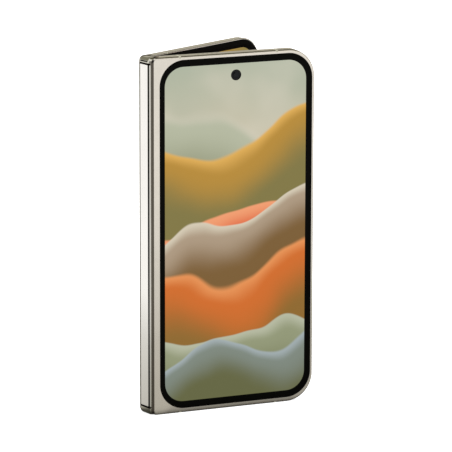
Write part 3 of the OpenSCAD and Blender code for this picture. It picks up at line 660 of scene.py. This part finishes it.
# ---------------- frames of the halves
def frame_loop(rail_in, rail_w, lip_in, lip_w):
    """A loop round a half, set in by one depth along the rails and another along the lip."""
    r, k = CORNER_R - rail_in, FOLD_CORNER
    corner = [(k - (k - lip_in) * math.cos(t), k - (k - rail_in) * math.sin(t),
               lip_w * math.cos(t) ** 2 + rail_w * math.sin(t) ** 2)
              for t in (math.pi / 2 * i / 8 for i in range(9))]
    far = [(x, z, rail_w) for x, z in arc(HALF_W - CORNER_R, CORNER_R, r, -90, 0, 28)]
    low = corner + far
    return low + [(x, BODY_H - z, w) for x, z, w in reversed(low)]


def lip_bevel():
    """13 points of the lip's bevel, straight but for a small rounding at each end."""
    width, height = LIP
    turn = -90 - math.degrees(math.atan2(height, width))
    first = arc(LIP_R, height, LIP_R, -180, turn, 5)
    last = arc(width, LIP_R, LIP_R, turn, -90, 5)
    middle = tuple((a + b) / 2 for a, b in zip(first[-1], last[0]))
    return first + [middle] + last


def rounding(r, n):
    """n + 1 points of a quarter round, as the depths from the two faces that it joins."""
    return [(r - r * math.sin(t), r - r * math.cos(t))
            for t in (math.pi / 2 * i / n for i in range(n + 1))]


def blank():
    """A half's outer form before anything is cut from it."""
    s = Shape()
    levels = [pair * 2 for pair in rounding(INNER_EDGE, 4)]
    for i, (lip_in, lip_w) in enumerate(lip_bevel()):
        t = math.pi / 2 * i / 12
        levels.append((RIM_EDGE[0] * (1 - math.cos(t)), HALF_T - RIM_EDGE[1] * (1 - math.sin(t)),
                       lip_in, HALF_T - lip_w))
    return s.solid([s.points((x, w, z) for x, z, w in frame_loop(*level)) for level in levels])


def block(s, x0, w0, z0, x1, w1, z1):
    return prism(s, [(x0, z0), (x1, z0), (x1, z1), (x0, z1)], w0, w1)


def prism(s, outline, w0, w1):
    return s.solid([s.ring(outline, w0), s.ring(outline, w1)])


def rod(s, outline, z0, z1):
    """A prism that runs along the hinge, from its outline in u and w."""
    return s.solid([s.level(outline, z0), s.level(outline, z1)])


def break_slabs():
    s = Shape()
    for x in TOP_BREAKS:
        block(s, x - 0.5, -1, -1, x + 0.5, HALF_T + 1, 0.8)
        block(s, x - 0.5, -1, BODY_H - 0.8, x + 0.5, HALF_T + 1, BODY_H + 1)
    return block(s, HALF_W - 0.8, -1, SIDE_BREAK - 0.5, HALF_W + 1, HALF_T + 1, SIDE_BREAK + 0.5)


def display_pocket():
    return prism(Shape(), half_plan(0.5, 4.0, 28), -1, 0.95)


def rail_ends():
    """Tongues over the spine caps and the thin plates behind them."""
    s = Shape()
    profile = [(0, 0.85), (1.15, 0.85), (1.15, 0)] + rounding(INNER_EDGE, 4)
    for at, up in ((0, 1), (BODY_H, -1)):
        line = [(w, at + up * n) for n, w in profile]
        s.solid([s.side(line, x) for x in (1.95, 5.4)])
        z0, z1 = sorted((at + up * 1.25, at + up * 1.6))
        block(s, 1.5, 0.95, z0, 5.0, 2.8, z1)
    return s


def hinge_slots():
    """Slots in the mid plate's edge for the wings and the flexible circuits."""
    s = Shape()
    for z, length in WING_SLOTS:
        block(s, 4, 2.15, z - 0.1, 13, 2.6, z + length + 0.1)
    for z in FLEX_SLOTS:
        block(s, 4, 1.55, z - 0.1, 13, 2.15, z + 12.1)
    return s


def side_stadium(s, z0, length, grow, x0, x1):
    half = BUTTON_T / 2 + grow
    line = round_rect(BUTTON_W - half, z0 - grow, BUTTON_W + half, z0 + length + grow,
                      half - 0.01, 10)
    return s.solid([s.side(line, x0), s.side(line, x1)])


def rear_openings():
    """Port, speaker and microphone holes, buttons, inner camera and camera island."""
    mouths, rooms = Shape(), Shape()
    rod(mouths, round_rect(33.38, 1.22, 41.82, 3.88, 1.32), -1, 3.1)
    rod(rooms, round_rect(33.08, 0.92, 42.12, 4.18, 1.61), 2.6, 7.65)
    for x in BOTTOM_HOLES:
        rod(mouths, circle(x, 2.55, 0.65, 24), -1, 3.1)
    for z, length in BUTTONS.values():
        side_stadium(mouths, z, length, 0.1, HALF_W - 1.4, HALF_W + 1)
        block(rooms, HALF_W - 3.1, 0.85, z - 0.6, HALF_W - 1.3, 3.95, z + length + 0.6)
    prism(mouths, circle(*INNER_CAMERA, 3.3), 0, 2.05)
    prism(rooms, inset_rect(ISLAND, -0.1, ISLAND_R), 2.25, HALF_T + 1)
    return [("DIFFERENCE", mouths), ("DIFFERENCE", rooms)]


def front_openings():
    """Card tray slot and earpiece holes."""
    s = Shape()
    rod(s, round_rect(40.9, 2.0, 54.1, 3.2, 0.59), -1, 3.1)
    for x in EARPIECE_HOLES:
        rod(s, circle(x, 2.0, 0.35, 24), BODY_H - 3.1, BODY_H + 1)
    return [("DIFFERENCE", s)]


def half_frame(word, glass, glass_r, openings):
    """Rails, lip and mid plate of one half, and the plastic breaks let into its rails."""
    body = word + "_half"
    cavity = rod(Shape(), circle(AXIS_U, AXIS_W, 3.38, 128), -1, BODY_H + 1)
    seat = prism(Shape(), inset_rect(glass, -0.05, glass_r, 28), 4.25, HALF_T + 1)
    room = prism(Shape(), round_rect(7.3, 3.2, HALF_W - 3.2, BODY_H - 3.2, 8.8), 1.55, 4.6)
    edge = block(Shape(), 4, -1, 0.5, 5.5, 1.6, BODY_H - 0.5)
    steps = [("DIFFERENCE", item) for item in
             (cavity, seat, room, display_pocket(), edge, hinge_slots(), break_slabs())]
    s = carve(blank(), steps + openings + [("UNION", rail_ends())])
    for face in s.bm.faces:
        centre = face.calc_center_median()
        end = min(centre.z, BODY_H - centre.z)
        on_shaded_lip = centre.x < LIP[0] or centre.x < min(end, FOLD_CORNER)
        # Faces of the lip's bevel take the darker lip tone, a painted shade.
        face.material_index = int(on_shaded_lip and centre.y > HALF_T - RIM_EDGE[1]
                                  and 0.5 < face.normal.y < 0.999)
    make_piece(s, f"{word}_frame_shell", body, ("frame", "lip"),
               (f"{word}_frame",), sharp=26, flat=True)
    s = carve(blank(), [("INTERSECT", break_slabs()), ("DIFFERENCE", display_pocket())])
    make_piece(s, f"{word}_breaks", body, ("antenna",),
               (f"{word}_antenna_breaks",), sharp=26, flat=True)


# ---------------- outer display
def flat_uv(start, side):
    """Flat coordinates as shares of the opened phone's width and height."""
    return lambda v: (start + side * v.co.x / MM / (2 * HALF_W), v.co.z / MM / BODY_H)


def pane(s, box, r):
    """Rings of a sheet of glass with a rolled edge, from its seat to its flat face."""
    return ([s.ring(inset_rect(box, 0, r), GLASS_SEAT)]
            + s.rolled(box, r, GLASS_EDGE, HALF_T, 6))


def cover_screen():
    """Laminated outer display: glass with rolled edges, black border, lit area, camera hole."""
    s = Shape()
    rings = pane(s, FRONT_GLASS, FRONT_GLASS_R)
    lit = s.ring(inset_rect(LIT, 0, LIT_R), HALF_T)
    s.walls(rings + [lit])
    s.cap(rings[0])
    hole = s.ring(circle(*HOLE, HOLE_R), HALF_T)
    s.fill([lit, hole], 1)
    well = s.ring(circle(*HOLE, HOLE_R), HALF_T - 0.5)
    s.wall(hole, well)
    s.cap(well)
    make_piece(s, "cover_screen", "front_half", ("border", "cover_lit"),
               ("cover_glass", "cover_display"), uv=flat_uv(0, 1))


def small_camera(name, body, centre, w, outward):
    """Camera seen through a hole in a screen: a dark cone and a small domed lens."""
    s = Shape()
    profile = [(HOLE_R - 0.02, 0), (HOLE_R - 0.06, 0.1), (1.95, 0.12), (1.5, 0.02), (1.42, 0.06)]
    profile += [(1.4 * math.cos(t), 0.06 + 0.22 * math.sin(t))
                for t in (math.radians(15 * i) for i in range(6))]
    profile = [(r, h * outward) for r, h in profile]
    s.lathe(centre, w, profile, [0, 0, 0, 0, 1], 48)
    make_piece(s, name, body, ("barrel", "front_lens"))


# ---------------- inner display
def inner_screen(body, camera):
    """Stiff part of the inner display: black border and lit area, open to the fold strip."""
    s = Shape()
    back = s.ring(half_plan(PANEL_INSET, PANEL_X0), PANEL_BACK)
    face = s.ring(half_plan(PANEL_INSET, PANEL_X0), PANEL_W)
    lit = s.ring(half_plan(INNER_BORDER, PANEL_X0), PANEL_W)
    s.cap(back)
    s.wall(back, face)
    s.wall(face, lit, closed=False)
    if camera:
        hole = s.ring(circle(*INNER_CAMERA, HOLE_R), PANEL_W)
        s.fill([lit, hole], 1)
        well = s.ring(circle(*INNER_CAMERA, HOLE_R), PANEL_W + 0.4)
        s.wall(hole, well)
        s.cap(well)
    else:
        s.cap(lit, 1)
    word = body.split("_")[0]
    make_piece(s, f"inner_screen_{word}", body,
               ("inner_border", "inner_lit"),
               (f"inner_display_{word}",), uv=flat_uv(0.5, PLACES[body][1]))


def inner_bezel(body):
    """Raised soft lip round the inner display, rounded across."""
    s = Shape()
    rings = [s.ring(half_plan(inset, PANEL_X0 - 0.4), PANEL_W - (PANEL_W - w) * 0.19)
             for inset, w in arc(1.72, PANEL_W, 1.15, 180, 360, 10)]
    s.walls(rings, closed=False)
    for end in (0, -1):
        s.cap([ring[end] for ring in rings])
    s.wall(rings[-1], rings[0], closed=False)
    word = body.split("_")[0]
    make_piece(s, f"inner_lip_{word}", body, ("bezel",),
               (f"inner_bezel_{word}",))


def fold_point(u, w, share):
    """Where a flat point lies once its half has turned back by a share of the whole turn."""
    turn = math.pi / 2 - (math.pi / 2 - FOLD) * share
    x, y = u - AXIS_U, w - AXIS_W
    return (x * math.cos(turn) - y * math.sin(turn),
            AXIS_U + x * math.sin(turn) + y * math.cos(turn))


FOLD_START = fold_point(0, PANEL_W, 0)
FOLD_END = fold_point(PANEL_X0, PANEL_W, 1)


def blend_share(x, y):
    dx, dy = FOLD_END[0] - FOLD_START[0], FOLD_END[1] - FOLD_START[1]
    along = ((x - FOLD_START[0]) * dx + (y - FOLD_START[1]) * dy) / (dx * dx + dy * dy)
    t = min(1, max(0, along))
    return t * t * (3 - 2 * t)


def rest_point(u, w):
    """The rest place of a flat point, where the share of the turn that it has made equals
    blend_share at the place it reaches.
    """
    low, high = 0.0, 1.0
    for _ in range(40):
        share = (low + high) / 2
        if blend_share(*fold_point(u, w, share)) > share:
            low = share
        else:
            high = share
    return fold_point(u, w, (low + high) / 2)


def bent_band(name, node, body, faces, backs, levels, materials):
    """One side of a layer that bends between the fold line and a half, from its (u, w) points.

    With two materials, the second one lies on the face between the outer levels."""
    name = f"{name}_{body.split('_')[0]}"
    side = PLACES[body][1]
    bm = bmesh.new()
    flat = {}

    def column(u, w):
        x, y = rest_point(u, w)
        made = [bm.verts.new((x * MM, side * y * MM, z * MM)) for z in levels]
        for v, z in zip(made, levels):
            flat[v] = (0.5 + side * u / (2 * HALF_W), z / BODY_H)
        return made

    faces, backs = ([column(*point) for point in line] for line in (faces, backs))
    last, rows = len(faces) - 1, len(levels) - 1
    for i in range(last):
        for a, b, second in ((faces[i], faces[i + 1], len(materials) - 1),
                             (backs[i + 1], backs[i], 0)):
            for k in range(rows):
                quad = bm.faces.new((a[k], b[k], b[k + 1], a[k + 1]))
                quad.material_index = second if 0 < k < rows - 1 else 0
        for k in (0, rows):
            bm.faces.new((faces[i][k], faces[i + 1][k], backs[i + 1][k], backs[i][k]))
    for k in range(rows):
        bm.faces.new((faces[-1][k], backs[-1][k], backs[-1][k + 1], faces[-1][k + 1]))
        bm.faces.new((faces[0][k], faces[0][k + 1], backs[0][k + 1], backs[0][k]))
    piece = add_object(name, finished(name, bm, materials, flat.get, 40))
    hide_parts(node)
    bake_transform(piece)


def fold_strip(body):
    """One side of the bending part of the inner display."""
    us = [PANEL_X0 * i / STRIP_STEPS for i in range(STRIP_STEPS + 1)]
    bent_band("fold_strip", "fold_strip", body,
              [(u, PANEL_W) for u in us], [(u, PANEL_W + STRIP_T) for u in us],
              (STRIP_END, INNER_BORDER, BODY_H - INNER_BORDER, BODY_H - STRIP_END),
              ("inner_border", "inner_lit"))


def hinge_flexes(body):
    """One side of the two flexible circuits, which dip deeper at the fold line."""
    line = []
    for i in range(FLEX_STEPS + 1):
        dip = (1 + math.cos(math.pi * min(1, i / FLEX_DIP_STEPS))) / 2
        line.append((FLEX_X * i / FLEX_STEPS, FLEX_W + dip))
    for number, z in enumerate(FLEX_Z, 1):
        bent_band(f"hinge_flex_{number}", "hinge_flex", body, line,
                  [(u, w + FLEX_T) for u, w in line], (z, z + FLEX_LENGTH),
                  ("flex",))


# ---------------- spine
def spine_side(r):
    """One side of the spine's section, from its free edge round the shoulder to the flat."""
    cx, cy = SPINE_X + SPINE_R, SPINE_HALF_W - SPINE_R
    start = 90 + math.degrees(math.asin(min(1, (cx - SPINE_FREE_X) / r)))
    return arc(cx, cy, r, start, 180, 24)


def mirrored(line):
    """A line on the rear side, carried on by its mirror image on the front side."""
    return line + [(x, -y) for x, y in reversed(line)]


def spine_cover():
    """Polished channel with a groove along each shoulder, its inside near-black as painted shade.
    """
    low, high, depth = SEAM
    shoulder = [p for p in spine_side(SPINE_R) if p[1] > high + 0.02]
    lip_x = SPINE_X + SPINE_R - math.sqrt(SPINE_R ** 2 - (high - SPINE_HALF_W + SPINE_R) ** 2)
    floor_x = SPINE_X + depth
    outer_line = mirrored(shoulder + [(lip_x, high), (floor_x, high - 0.02), (floor_x, low + 0.02),
                                      (SPINE_X + 0.06, low), (SPINE_X, low - 0.08)])
    inner_line = mirrored(spine_side(SPINE_R - SPINE_WALL))
    outline = outer_line + list(reversed(inner_line))
    s = Shape()
    z0 = CAPS["bottom"][2] + CAP_GAP
    z1 = BODY_H - CAPS["top"][2] - CAP_GAP
    ends = [s.level(outline, z0), s.level(outline, z1)]
    n = len(outer_line)
    groove = len(shoulder)
    for i in range(len(outline)):
        j = (i + 1) % len(outline)
        in_shaded_groove = groove <= i < groove + 3 or n - groove - 4 <= i < n - groove - 1
        quad = s.bm.faces.new((ends[0][i], ends[0][j], ends[1][j], ends[1][i]))
        quad.material_index = int(in_shaded_groove)
    for ring in ends:
        stitch(s, ring[:n], list(reversed(ring[n:])))
    make_piece(s, "spine_shell", "spine", ("spine", "painted_gap_shade"),
               ("spine_cover",), sharp=25)


def stitch(s, a, b):
    """Triangles between two open chains that run side by side."""
    i = j = 0
    while i < len(a) - 1 or j < len(b) - 1:
        if j == len(b) - 1 or (i < len(a) - 1 and (i + 1) / len(a) <= (j + 1) / len(b)):
            s.bm.faces.new((a[i], a[i + 1], b[j]))
            i += 1
        else:
            s.bm.faces.new((a[i], b[j + 1], b[j]))
            j += 1


def cap_outline(inset):
    """An end cap's outline, set in except on its flat side."""
    r = SPINE_R - inset
    cx, cy = SPINE_X + SPINE_R, SPINE_HALF_W - SPINE_R
    half = [(0.4, 4.5 - inset), (-0.3, 4.6 - inset)]
    if r > 0.05:
        half += arc(cx, cy, r, 105, 180, 10)
    else:
        half += [(SPINE_X + inset, SPINE_HALF_W - inset)] * 11
    return mirrored(half)


def spine_caps():
    for name, (at, up, height, edge) in CAPS.items():
        s = Shape()

        def stack(sections, material=0):
            """A solid through sections at heights above the cap's foot."""
            s.solid([s.level(line, at + up * h) for line, h in sections], material)

        stack([(cap_outline(inset), h) for inset, h in rounding(edge, 10)]
              + [(cap_outline(0), height)])
        # The key and collar are near-black: painted shade in the gap between cap and spine cover.
        key = [(-2.2, -2.6), (0.1, -2.6), (0.1, 2.6), (-2.2, 2.6)]
        stack([(key, height), (key, height + 3)], 1)
        collar = [(x + 0.16 if x < -1.5 else x, y * 0.94) for x, y in cap_outline(0.2)]
        stack([(collar, height), (collar, height + CAP_GAP)], 1)
        bmesh.ops.remove_doubles(s.bm, verts=s.bm.verts, dist=1e-5)
        make_piece(s, f"spine_cap_{name}", "spine", ("cap", "painted_gap_shade"),
                   ("spine_end_caps",))


# ---------------- back
def back_panel():
    """Etched back glass with rolled edges and an opening for the camera island."""
    s = Shape()
    rings = pane(s, GLASS, GLASS_R)
    s.walls(rings)
    opening = inset_rect(ISLAND, -0.1, ISLAND_R)
    top, low = s.ring(opening, HALF_T), s.ring(opening, GLASS_SEAT)
    s.fill([rings[-1], top])
    s.wall(top, low)
    s.fill([rings[0], low])
    make_piece(s, "back_panel", "rear_half", ("back",), ("back_glass",))


def pill(z, grow):
    r = WINDOW_R + grow
    return round_rect(WINDOW_X[0] - grow, z - r, WINDOW_X[1] + grow, z + r, r - 0.001)


def camera_island():
    """Raised metal island, rounded over, with two recessed windows."""
    s = Shape()
    foot_line = inset_rect(ISLAND, 0, ISLAND_R)
    rings = [s.ring(foot_line, HALF_T - 0.8), s.ring(foot_line, HALF_T + 0.02)]
    rings += s.rolled(ISLAND, ISLAND_R, 0.9, ISLAND_TOP, 8)
    s.walls(rings)
    s.cap(rings[0])
    tops = []
    for z in WINDOW_Z:
        top = s.ring(pill(z, 0.14), ISLAND_TOP)
        chamfer = s.ring(pill(z, 0.02), ISLAND_TOP - 0.12)
        foot = s.ring(pill(z, 0.02), ISLAND_TOP - 0.7)
        s.walls([top, chamfer, foot])
        s.cap(foot)
        tops.append(top)
    s.fill([rings[-1], *tops])
    make_piece(s, "camera_island_shell", "rear_half", ("island",),
               ("camera_island",))


def camera_window(name, z, wells):
    """Dark window with a stepped well for each thing behind it."""
    s = Shape()
    top = ISLAND_TOP - 0.08
    base = s.ring(pill(z, 0), ISLAND_TOP - 0.65)
    side = s.ring(pill(z, 0), top - 0.1)
    rim = s.ring(pill(z, -0.1), top)
    s.walls([base, side, rim])
    s.cap(base)
    holes = []
    for centre, radius in wells:
        mouth = s.ring(circle(*centre, radius), top)
        floor = s.ring(circle(*centre, radius - 0.15), top - 0.3)
        s.wall(mouth, floor)
        s.cap(floor)
        holes.append(mouth)
    s.fill([rim, *holes])
    make_piece(s, name, "rear_half", ("window",), ("camera_windows",))


def back_lens(number, centre):
    """Stepped barrel rings round a domed front element."""
    s = Shape()
    base = ISLAND_TOP - 0.38
    profile = [(3.85, 0), (3.8, 0.2), (3.45, 0.24), (3.3, 0.1), (3.05, 0.1), (3.0, 0.02),
               (2.6, 0.02), (2.45, -0.08)]
    profile += [(2.3 * math.cos(t), 0.26 * math.sin(t)) for t in
                (math.radians(12 * i) for i in range(7))]
    s.lathe(centre, base, profile, [0, 1, 0, 0, 0, 0, 0, 0, 2], 72)
    make_piece(s, f"back_lens_{number}", "rear_half",
               ("barrel", "steel", "lens"),
               ("camera_lenses",))


def flash():
    """Round diffuser with concentric ridges."""
    s = Shape()
    base = ISLAND_TOP - 0.38
    profile = [(1.9, 0), (1.86, 0.16)]
    for i in range(5):
        r = 1.75 - 0.32 * i
        profile += [(r, 0.2), (r - 0.16, 0.12)]
    s.lathe(FLASH, base, profile, [0], 48)
    make_piece(s, "flash_diffuser", "rear_half", ("flash",),
               ("flash_lens",))


# ---------------- buttons
def side_button(name, z0, length):
    """Slim button with a rounded crown, and the flange that keeps it in the rail."""
    s = Shape()

    def stadium(inset):
        half = BUTTON_T / 2 - inset
        return round_rect(BUTTON_W - half, z0 + inset, BUTTON_W + half, z0 + length - inset,
                          half - 0.001, 10)

    crown, shoulder = BUTTON_CROWN, BUTTON_PROUD - BUTTON_CROWN
    levels = [(0.0, -1.9), (0.0, shoulder)]
    levels += [(crown - crown * math.cos(a), shoulder + crown * math.sin(a))
               for a in (math.radians(15 * i) for i in range(1, 7))]
    s.solid([s.side(stadium(inset), HALF_W + x) for inset, x in levels])
    across, along = FLANGE
    flange = round_rect(BUTTON_W - BUTTON_T / 2 - across, z0 - along,
                        BUTTON_W + BUTTON_T / 2 + across, z0 + length + along, 0.2, 4)
    s.solid([s.side(flange, HALF_W - x) for x in (2.0, 1.6)])
    piece = make_piece(s, f"{name}_cap", "rear_half", ("button",),
                       (name,))
    piece.parent = None
    piece.matrix_world = REAR
    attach(piece, name)


# ---------------- studio
# Area lamps: place and size in metres, and power in watts.
PANELS = {
    "key_panel": ((-0.7, -1.1, 0.9), (0.9, 0.9), 14),
    "side_panel": ((1.2, -0.5, 0.7), (0.8, 1.0), 8),
    "back_panel_lamp": ((0.2, 1.3, 0.9), (1.0, 0.8), 10),
    "top_panel": ((0.0, 0.0, 1.5), (1.2, 1.2), 12),
}


def add_panel(name, place, aim, size, power):
    data = bpy.data.lights.new(name, "AREA")
    data.shape = "RECTANGLE"
    data.size, data.size_y = size
    data.energy = power
    lamp = add_object(name, data)
    lamp.location = place
    lamp.rotation_euler = (Vector(aim) - Vector(place)).to_track_quat("-Z", "Y").to_euler()
    lamp.visible_glossy = False


def compass(azimuth, elevation):
    """A direction by its azimuth from +Y towards +X and its elevation, in degrees."""
    a, e = math.radians(azimuth), math.radians(elevation)
    return (math.sin(a) * math.cos(e), math.cos(a) * math.cos(e), math.sin(e))


# What polished surfaces see above: azimuth and elevation in degrees, half-angle of the full tone,
# half-angle where it has faded out, and the tone.
SKY = (
    (0, 90, 30, 62, (0.95, 0.95, 0.95)),
    (-40, 10, 30, 50, (1.0, 1.0, 1.0)),
    (150, 35, 34, 60, (1.05, 1.03, 1.0)),
    (-150, 10, 22, 40, (0.07, 0.07, 0.07)),
    (6, 38, 16, 28, (0.26, 0.25, 0.2)),
    (75, 62, 25, 33, (0.13, 0.125, 0.09)),
    (44, 46, 14, 24, (0.13, 0.125, 0.09)),
    (-28, 28, 9, 15, (0.25, 0.25, 0.2)),
    (-35, 7, 7, 10, (0.0, 0.0, 0.0)),
    (35, 9, 12, 26, (0.48, 0.46, 0.38)),
    (104, 18, 10, 20, (0.28, 0.27, 0.24)),
)
SKY_BASE = (0.6, 0.6, 0.6)

# The same on the floor, which is seen low down: there the elevation is always 0.
GROUND = (
    (-60, 0, 28, 36, (1.03, 1.02, 1.01)),
    (26, 0, 43, 56, (0.2, 0.2, 0.19)),
    (-130, 0, 26, 45, (0.66, 0.65, 0.62)),
    (171, 0, 9, 16, (1.0, 1.0, 1.0)),
)
GROUND_BASE = (0.75, 0.75, 0.75)
# Painted shadow round the object in the floor's mirror: distance from the object in metres and
# tone, beside it, at its foot and far away.
GROUND_PAINTED_SHADOW = ((0.0, (0.07, 0.07, 0.06)), (0.012, (0.55, 0.545, 0.51)), (0.42, (1.0, 1.0, 1.0)))


# Reach of the wedge that the halves stand on, its half-width at the fold, both in metres, and how
# steeply the painted shadow in the floor's mirror pales behind the spine.
STAND_REACH = 0.072
STAND_HALF_W = 0.004
BEHIND_FADE = 20.0


def bare_tree(owner):
    """The emptied node tree of a new material or world."""
    owner.use_nodes = True
    owner.node_tree.nodes.clear()
    return Tree(owner.node_tree)


def make_world():
    """White to the camera, a soft studio with paler and darker parts to polished surfaces."""
    world = bpy.data.worlds.new("studio")
    bpy.context.scene.world = world
    g = bare_tree(world)

    def background(colour, strength=1.0):
        return g.node("ShaderNodeBackground", Color=colour, Strength=strength).outputs[0]

    path = g.nodes.new("ShaderNodeLightPath")
    direction = g.nodes.new("ShaderNodeTexCoord").outputs["Generated"]
    mirror = background(g.tone(direction, SKY, SKY_BASE))
    white, fill = background((1, 1, 1, 1)), background((1, 1, 1, 1), 0.55)
    seen = g.math("MAXIMUM", path.outputs["Is Camera Ray"], path.outputs["Is Transmission Ray"])
    first = g.choose(path.outputs["Is Glossy Ray"], fill, mirror)
    g.node("ShaderNodeOutputWorld", Surface=g.choose(seen, first, white))


def make_floor():
    """A white floor that keeps a faint shadow; to polished surfaces it glows in painted tones,
    with a painted shadow that darkens it close to the object.
    """
    bm = bmesh.new()
    bmesh.ops.create_circle(bm, cap_ends=True, segments=96, radius=3.0)
    material = bpy.data.materials.new("floor_white")
    floor = add_object("floor", to_mesh("floor", bm, [material]))
    g = bare_tree(material)
    plain = g.node("ShaderNodeBsdfDiffuse", Color=(0.82, 0.82, 0.82, 1)).outputs[0]
    seen = g.node("ShaderNodeAddShader", plain, g.emission((1, 1, 1, 1), 0.72)).outputs[0]

    # Distance to the wedge that the two halves stand on
    point = g.nodes.new("ShaderNodeTexCoord").outputs["Object"]
    x, y = g.split(point)
    behind = g.math("MINIMUM", x, 0.0)
    behind = g.math("MULTIPLY", g.math("MULTIPLY", behind, behind), BEHIND_FADE)
    beyond = g.math("MAXIMUM", g.math("SUBTRACT", x, STAND_REACH), behind)
    width = g.math("MULTIPLY_ADD", x, math.tan(FOLD), STAND_HALF_W)
    beside = g.math("SUBTRACT", g.math("ABSOLUTE", y), width)
    distance = g.vector("LENGTH", g.join(g.math("MAXIMUM", beyond, 0.0),
                                         g.math("MAXIMUM", beside, 0.0)))
    (d0, dark), (d1, foot), (d2, full) = GROUND_PAINTED_SHADOW
    painted_shadow = g.mix(g.remap(distance, d0, d1, smooth=True), dark, foot)
    painted_shadow = g.mix(g.remap(distance, d1, d2), painted_shadow, full)
    tone = g.tone(g.vector("NORMALIZE", point), GROUND, GROUND_BASE)
    # What polished surfaces see of the floor: painted tones times the painted shadow, as a glow.
    mirrored = g.emission(g.mix(1.0, tone, painted_shadow, "MULTIPLY"))

    path = g.nodes.new("ShaderNodeLightPath")
    first = g.choose(path.outputs["Is Glossy Ray"], plain, mirrored)
    g.node("ShaderNodeOutputMaterial",
           Surface=g.choose(path.outputs["Is Camera Ray"], first, seen))


def make_studio():
    bpy.context.scene.view_settings.view_transform = "Standard"
    make_world()
    make_floor()
    middle = (0.03, 0, BODY_H / 2 * MM)
    for name, (place, size, power) in PANELS.items():
        add_panel(name, place, middle, size, power)


make_camera()
dress_cad_nodes()
half_frame("rear", GLASS, GLASS_R, rear_openings())
half_frame("front", FRONT_GLASS, FRONT_GLASS_R, front_openings())
cover_screen()
small_camera("cover_camera_lens", "front_half", HOLE, HALF_T - 0.45, 1)
for half, has_camera in (("rear_half", True), ("front_half", False)):
    inner_screen(half, has_camera)
    inner_bezel(half)
    fold_strip(half)
    hinge_flexes(half)
small_camera("inner_camera_lens", "rear_half", INNER_CAMERA, PANEL_W + 0.35, -1)
spine_cover()
spine_caps()
back_panel()
camera_island()
camera_window("upper_camera_window", WINDOW_Z[0], [(LENSES[0], 4.0), (LENSES[1], 4.0)])
camera_window("lower_camera_window", WINDOW_Z[1], [(LENSES[2], 4.0), (FLASH, 2.05)])
for number, centre in enumerate(LENSES, 1):
    back_lens(number, centre)
flash()
for name, (z, length) in BUTTONS.items():
    side_button(name, z, length)
make_studio()
